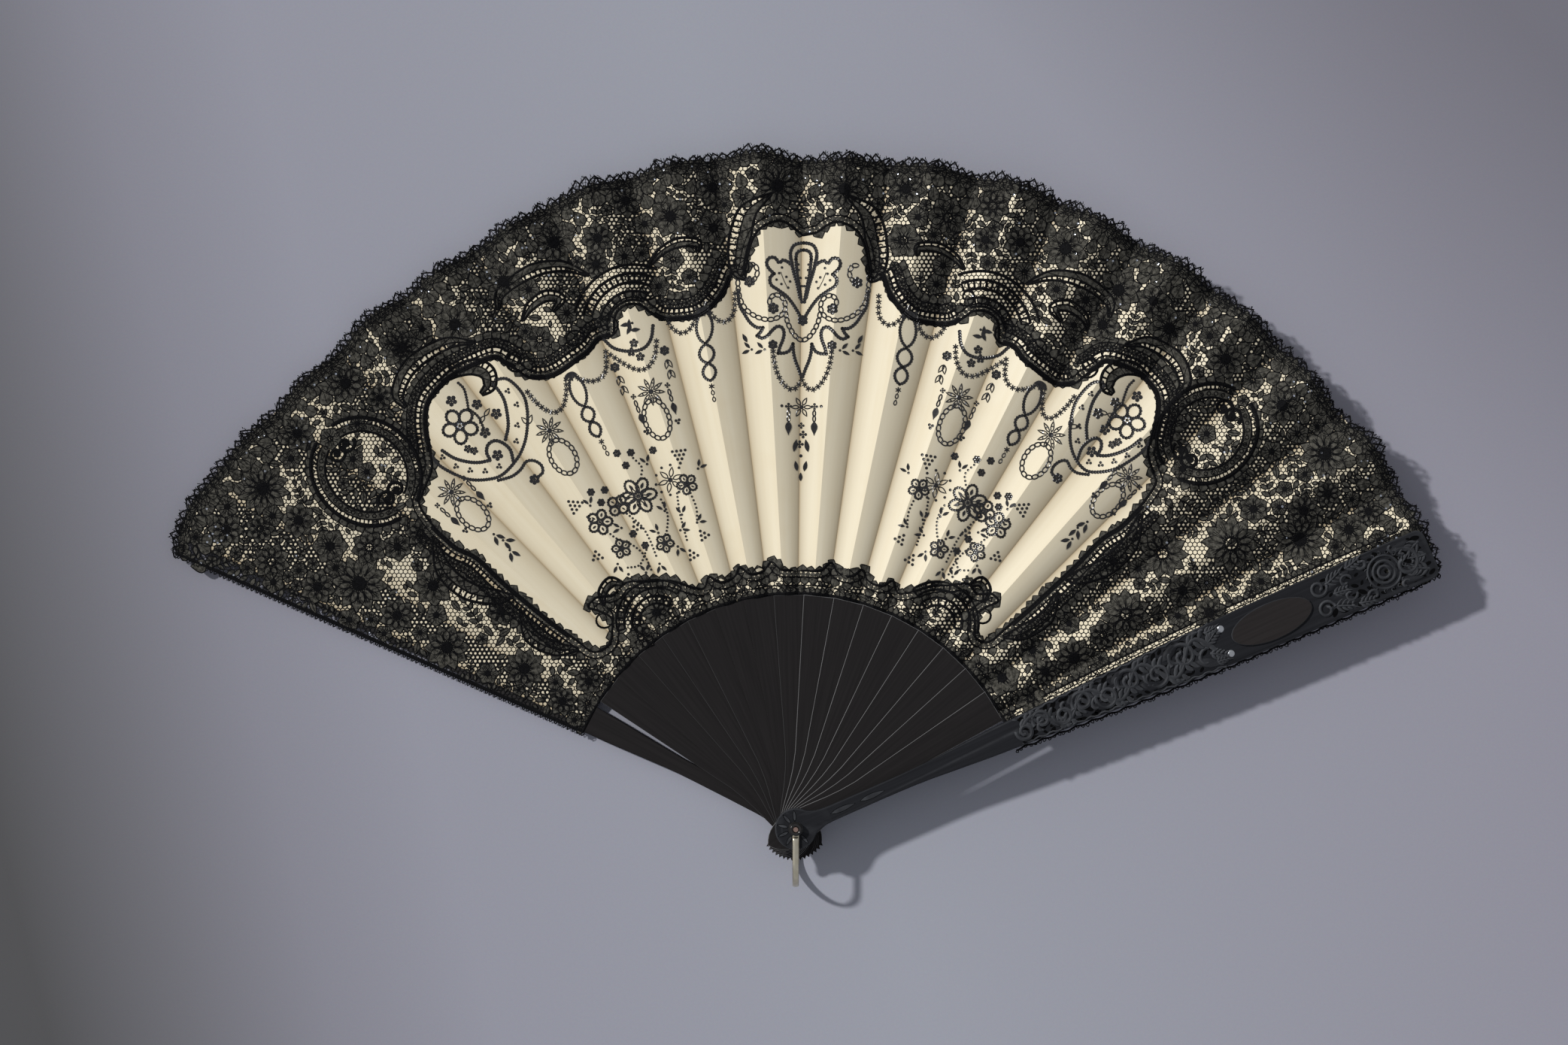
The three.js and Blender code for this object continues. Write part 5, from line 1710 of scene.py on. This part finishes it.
garlands = (
    [(-6.5, 273), (-6.9, 263), (-8.1, 259.3), (-9.2, 263), (-9.8, 270)],
    [(-10.8, 268), (-11.7, 260), (-13, 257.7), (-14, 262), (-14.2, 267)],
    [(-31.7, 260), (-31.5, 253.6), (-31, 247.6), (-30.2, 243.9), (-29, 244.6), (-27.9, 250), (-27.2, 256)],
    [(-26.2, 256), (-25.6, 252.2), (-24.4, 248.9), (-23.2, 249.4), (-22.4, 253), (-22, 258)],
    [(-21.8, 260.4), (-21.3, 257), (-20.3, 251), (-19.1, 246), (-17.8, 245.5), (-16.6, 250.3), (-16, 257)])
bouquet_leaves = ((-22.3, 200.5, 0), (-15, 189.5, 50), (-32.6, 195, 10), (-30.6, 176.5, -60),
                  (-22.6, 175, -8), (-25.2, 166, -20), (-20, 170, 10), (-17.6, 163, 70), (-20.9, 162, 80),
                  (-30.4, 151, 20), (-27.5, 149.5, 190), (-34.4, 160.5, 210), (-22.8, 153.5, 175))
bouquet_stems = (
    [(-23.8, 205), (-23.2, 199), (-24, 194)], [(-22.4, 180), (-22.3, 172), (-23.6, 164), (-24.6, 162)],
    [(-19.6, 180), (-20.2, 172), (-20.5, 165), (-20.8, 156)],
    [(-32.6, 178), (-31.8, 172), (-30.2, 166), (-29.2, 158), (-29.4, 150)],
    [(-28.4, 181), (-27.2, 172), (-27, 164), (-27.3, 155)], [(-34, 190), (-33.6, 187)],
    [(-17.5, 178), (-17.3, 170), (-17.8, 164)], [(-28.4, 160), (-30.8, 155), (-33, 157)])
berries = ((-33.4, 197.5, -80, 4), (-17.6, 194, 10, 4), (-17.9, 158, 160, 3), (-35.8, 168.5, -40, 3),
           (-33.6, 154, 190, 3), (-21, 150.4, 170, 3), (-28, 175.5, 185, 3))
for hand in (1, -1):
    beaded_loops(hand, ((-10.1, 266.5), (-10.6, 250), 8.4), ((-10.6, 249.5), (-10.7, 240), 7.6),
                 ((-10.7, 239.6), (-10.8, 231), 6.6), tail=216)
    beaded_loops(hand, ((-26.4, 256.5), (-26.7, 239.5), 7.8), ((-26.7, 239), (-26.8, 231), 6.6),
                 ((-26.8, 230.6), (-26.8, 222.5), 5.6), tail=208)
    for line in garlands:
        stars_along(spline(path(hand, *line), steps=6))
    for b, r in ((-10.1, 268.5), (-26.6, 258.5)):
        for turn in (-50, 0, 50):
            jet_leaf(seated(b, r, hand), 5, 2, seat(b, hand) + 180 + turn)
    leaf_pair(seated(-18.5, 266.5, hand), seat(-18.5, hand) + 60 * hand, 5.2, 40)
    leaf_pair(seated(-18.2, 269, hand), seat(-18.2, hand) - 110 * hand, 5.2, 26)
    beads_along(hand, (-21.5, 266.5), (-20.8, 260.5), (-19.2, 256.1), (-17.6, 255.4), (-16.5, 259),
                (-15.9, 265))
    for b, r in ((-18.5, 259.4), (-18.3, 251.8), (-19.1, 255.6)):
        knot(seated(b, r, hand), 2.6, 5)
    for b in (-21.5, -15.4):
        knot(seated(b, 251.3, hand), 2.8, 6)
        for low in (0, 5.4):
            lean = seat(b, hand)
            for side_way in (-1, 1):
                open_leaf(in_plan(lean, 246.5 - low), 4.8, 1.9, lean + 180 + 20 * side_way)
    oval_pendant(-18.4, 233.3, hand, (-18.8, 219), 10.4)
    oval_pendant(-31.9, 237.4, hand, (-32.2, 222.4), 9.6, drops=False)
    oval_pendant(-45.9, 244.6, hand, (-46, 229), 10)
    for side_way in (-1, 1):
        open_leaf(seated(-33.6, 246, hand), 5, 2.1, seat(-33.6, hand) + 20 + 34 * side_way)
    for b, r, turn in ((-46, 213, 180), (-45.6, 207.5, 160), (-46.1, 201.5, 190)):
        leaf_pair(seated(b, r, hand), seat(b, hand) + turn, 5, 26)
    # The crescent with its flower and curls
    beads_along(hand, (-33.9, 274.1), (-32.9, 271.5), (-32.4, 265.8), (-32.3, 258.6), (-32.9, 251.6),
                (-34, 244.7), (-35.4, 239), (-37.3, 234.9), (-39.9, 233.3), (-41.8, 236.9), (-43.4, 243.4),
                (-44.3, 252), (-44.7, 259.6), (-44.5, 264.7), size=1.9)
    beads_along(hand, (-34.4, 273), (-34.3, 268), (-34.4, 263), (-34.9, 257.4), (-35.7, 251.3),
                (-36.9, 246.5))
    beads_along(hand, (-43.3, 263), (-42.9, 256.1), (-42, 249.8), (-41, 245.6), (-39.9, 243))
    beads_along(hand, (-39.8, 243.8), (-39.6, 247.1), (-38.9, 249.7), (-38, 249.3), (-37.4, 245.8),
                (-37.2, 240.8), (-37.7, 235.5))
    for b, r in ((-33.5, 265.9), (-33.5, 257.6), (-34.8, 248.8), (-36, 242.5), (-43.8, 260.5),
                 (-43.4, 252.4), (-42.5, 245.9), (-41.2, 240.4), (-39.5, 237.6)):
        clover(seated(b, r, hand), b * 3)
    centre = seated(-40, 266.3, hand)
    beaded_flower(centre, 9.2, 5, seat(-40, hand), 1.8, vein=False)
    for b, r, size in ((-39, 278.9, 3.2), (-37.1, 269.6, 3), (-36, 259.9, 3.2), (-38.3, 255.5, 3.1),
                       (-38.8, 242.6, 3.2), (-41, 254.8, 2.4), (-40.6, 251.9, 2.4)):
        knot(seated(b, r, hand), size, 5, b)
    beads_along(hand, (-37.3, 284), (-37.2, 280), (-37.6, 275), (-38.1, 270.5), size=1.6)
    beads_along(hand, (-38.1, 270.5), (-37.8, 264), (-38.1, 258), size=1.6)
    for side_way in (-1, 1):
        open_leaf(seated(-37.2, 262.5, hand), 4.6, 1.9, seat(-37.2, hand) + 90 * side_way + 160)
    beads_along(hand, (-40.7, 232.4), (-39.1, 229.6), (-37.7, 229.5), (-36.5, 231.1), (-35.6, 229),
                (-35.2, 224.9), (-35.6, 221.7), (-36.4, 221.3), size=1.85)
    knot(seated(-37, 221.3, hand), 3, 6)
    # The bouquet over the gorge
    beaded_flower(seated(-25.5, 186.3, hand), 9.5, 6, 20, 1.5)
    vesica_flower(seated(-25.5, 186.3, hand), 5.5, 8)
    vesica_flower(seated(-19.9, 187.6, hand), 6.6, 6, 8)
    for turn in range(0, 360, 36):
        sequin(turned([(0, 7.6)], seated(-19.9, 187.6, hand), turn)[0], 1.5)
    beaded_flower(seated(-17.6, 182.8, hand), 5.2, 5, 40, 1.4)
    beaded_flower(seated(-32.8, 184.2, hand), 6.4, 5, 12, 1.5)
    beaded_flower(seated(-29, 186.8, hand), 5.4, 4, 30, 1.5)
    beaded_flower(seated(-32.1, 167, hand), 4.8, 5, 50, 1.4)
    beaded_flower(seated(-24.8, 158.8, hand), 4.6, 5, 20, 1.4)
    for b, r in ((-25.6, 210.6), (-23.8, 208), (-25.2, 203.1), (-20.8, 204.9), (-31.5, 199.6),
                 (-29.6, 197), (-31, 192.4), (-29.1, 170.4), (-28.2, 162.3)):
        knot(seated(b, r, hand), 2.3, 6, b)
    for b, r, lean, rows in berries:
        bead_cluster(b, r, hand, lean, rows)
    for b, r, lean in bouquet_leaves:
        leaf_pair(seated(b, r, hand), seat(b, hand) + lean * hand, 3.8, 30)
    for line in bouquet_stems:
        bead_row(spline(path(hand, *line), steps=5), 1.25, 1.9)

# Silvered sequins here and there on the lace
for _ in range(170):
    b, depth = dice.uniform(*side_bearings), dice.choice((6, 9, 14, 22, 34, 60, 110)) + dice.uniform(-3, 3)
    at = in_plan(b, edge_radius(b) - depth)
    if lace_cells[cells_of(at)]:
        sequin(at, dice.uniform(1.0, 1.5), silver_kind)
for corner_b, corner_r in ((-63.6, 331), (64.6, 331)):
    for j in range(9):
        sequin(turned([(0, dice.uniform(1.5, 7))], in_plan(corner_b, corner_r), 40 * j)[0], 1.4, silver_kind)

# Each sequin is a low cup with eight sides: its foot, a narrower rim above it and a dished middle
spots = np.array(bead_spots)
owner = sheet_at(spots[:, 0], spots[:, 1])[0]
angle = np.linspace(0, 2 * math.pi, 8, endpoint=False)
rim_faces = []
for j in range(8):
    after = (j + 1) % 8
    rim_faces += [(j, after, 8 + after, 8 + j), (8 + j, 8 + after, 16)]
for sheet in range(sheet_count):
    for kind in (jet_kind, silver_kind):
        mine = spots[(owner == sheet) & (spots[:, 3] == kind)]
        if not len(mine):
            continue
        disc = np.zeros((len(mine), 17, 3))
        for ring, share, height in ((0, 0.5, 0.08), (8, 0.36, 0.28)):
            disc[:, ring:ring + 8, 0] = mine[:, :1] + mine[:, 2:3] * share * np.cos(angle)
            disc[:, ring:ring + 8, 1] = mine[:, 1:2] + mine[:, 2:3] * share * np.sin(angle)
            disc[:, ring:ring + 8, 2] = height
        disc[:, 16, :2] = mine[:, :2]
        disc[:, 16, 2] = 0.16
        disc_faces = [tuple(17 * n + i for i in face) for n in range(len(mine)) for face in rim_faces]
        lay(bead_parts[sheet], disc.reshape(-1, 3), disc_faces, kind)

jet, nodes, links, shader = new_material("black jet sequins", Roughness=0.25)
cut = pattern_of(nodes, links, "ShaderNodeTexVoronoi", Scale=900)
faceted = mix_of(nodes, links, cut.outputs["Distance"], (0.003, 0.003, 0.004), (0.022, 0.021, 0.022))
links.new(faceted, shader.inputs["Base Color"])
glint, nodes, links, shader = new_material("silvered sequins", Metallic=1.0, Roughness=0.2)
cut = pattern_of(nodes, links, "ShaderNodeTexVoronoi", Scale=700)
faceted = mix_of(nodes, links, cut.outputs["Distance"], (0.75, 0.8, 0.9), (0.4, 0.42, 0.46))
links.new(faceted, shader.inputs["Base Color"])
bead_pieces = {}
for i, part in enumerate(bead_parts):
    if part["count"]:
        bead_pieces[i] = mesh_of(part, f"beads_{i:02d}", i, (jet, glint))

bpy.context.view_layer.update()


for i, silk in enumerate(silk_sheets):
    k = i // 2
    for piece in [silk, lace_pieces[i]] + ([bead_pieces[i]] if i in bead_pieces else []):
        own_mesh(piece)
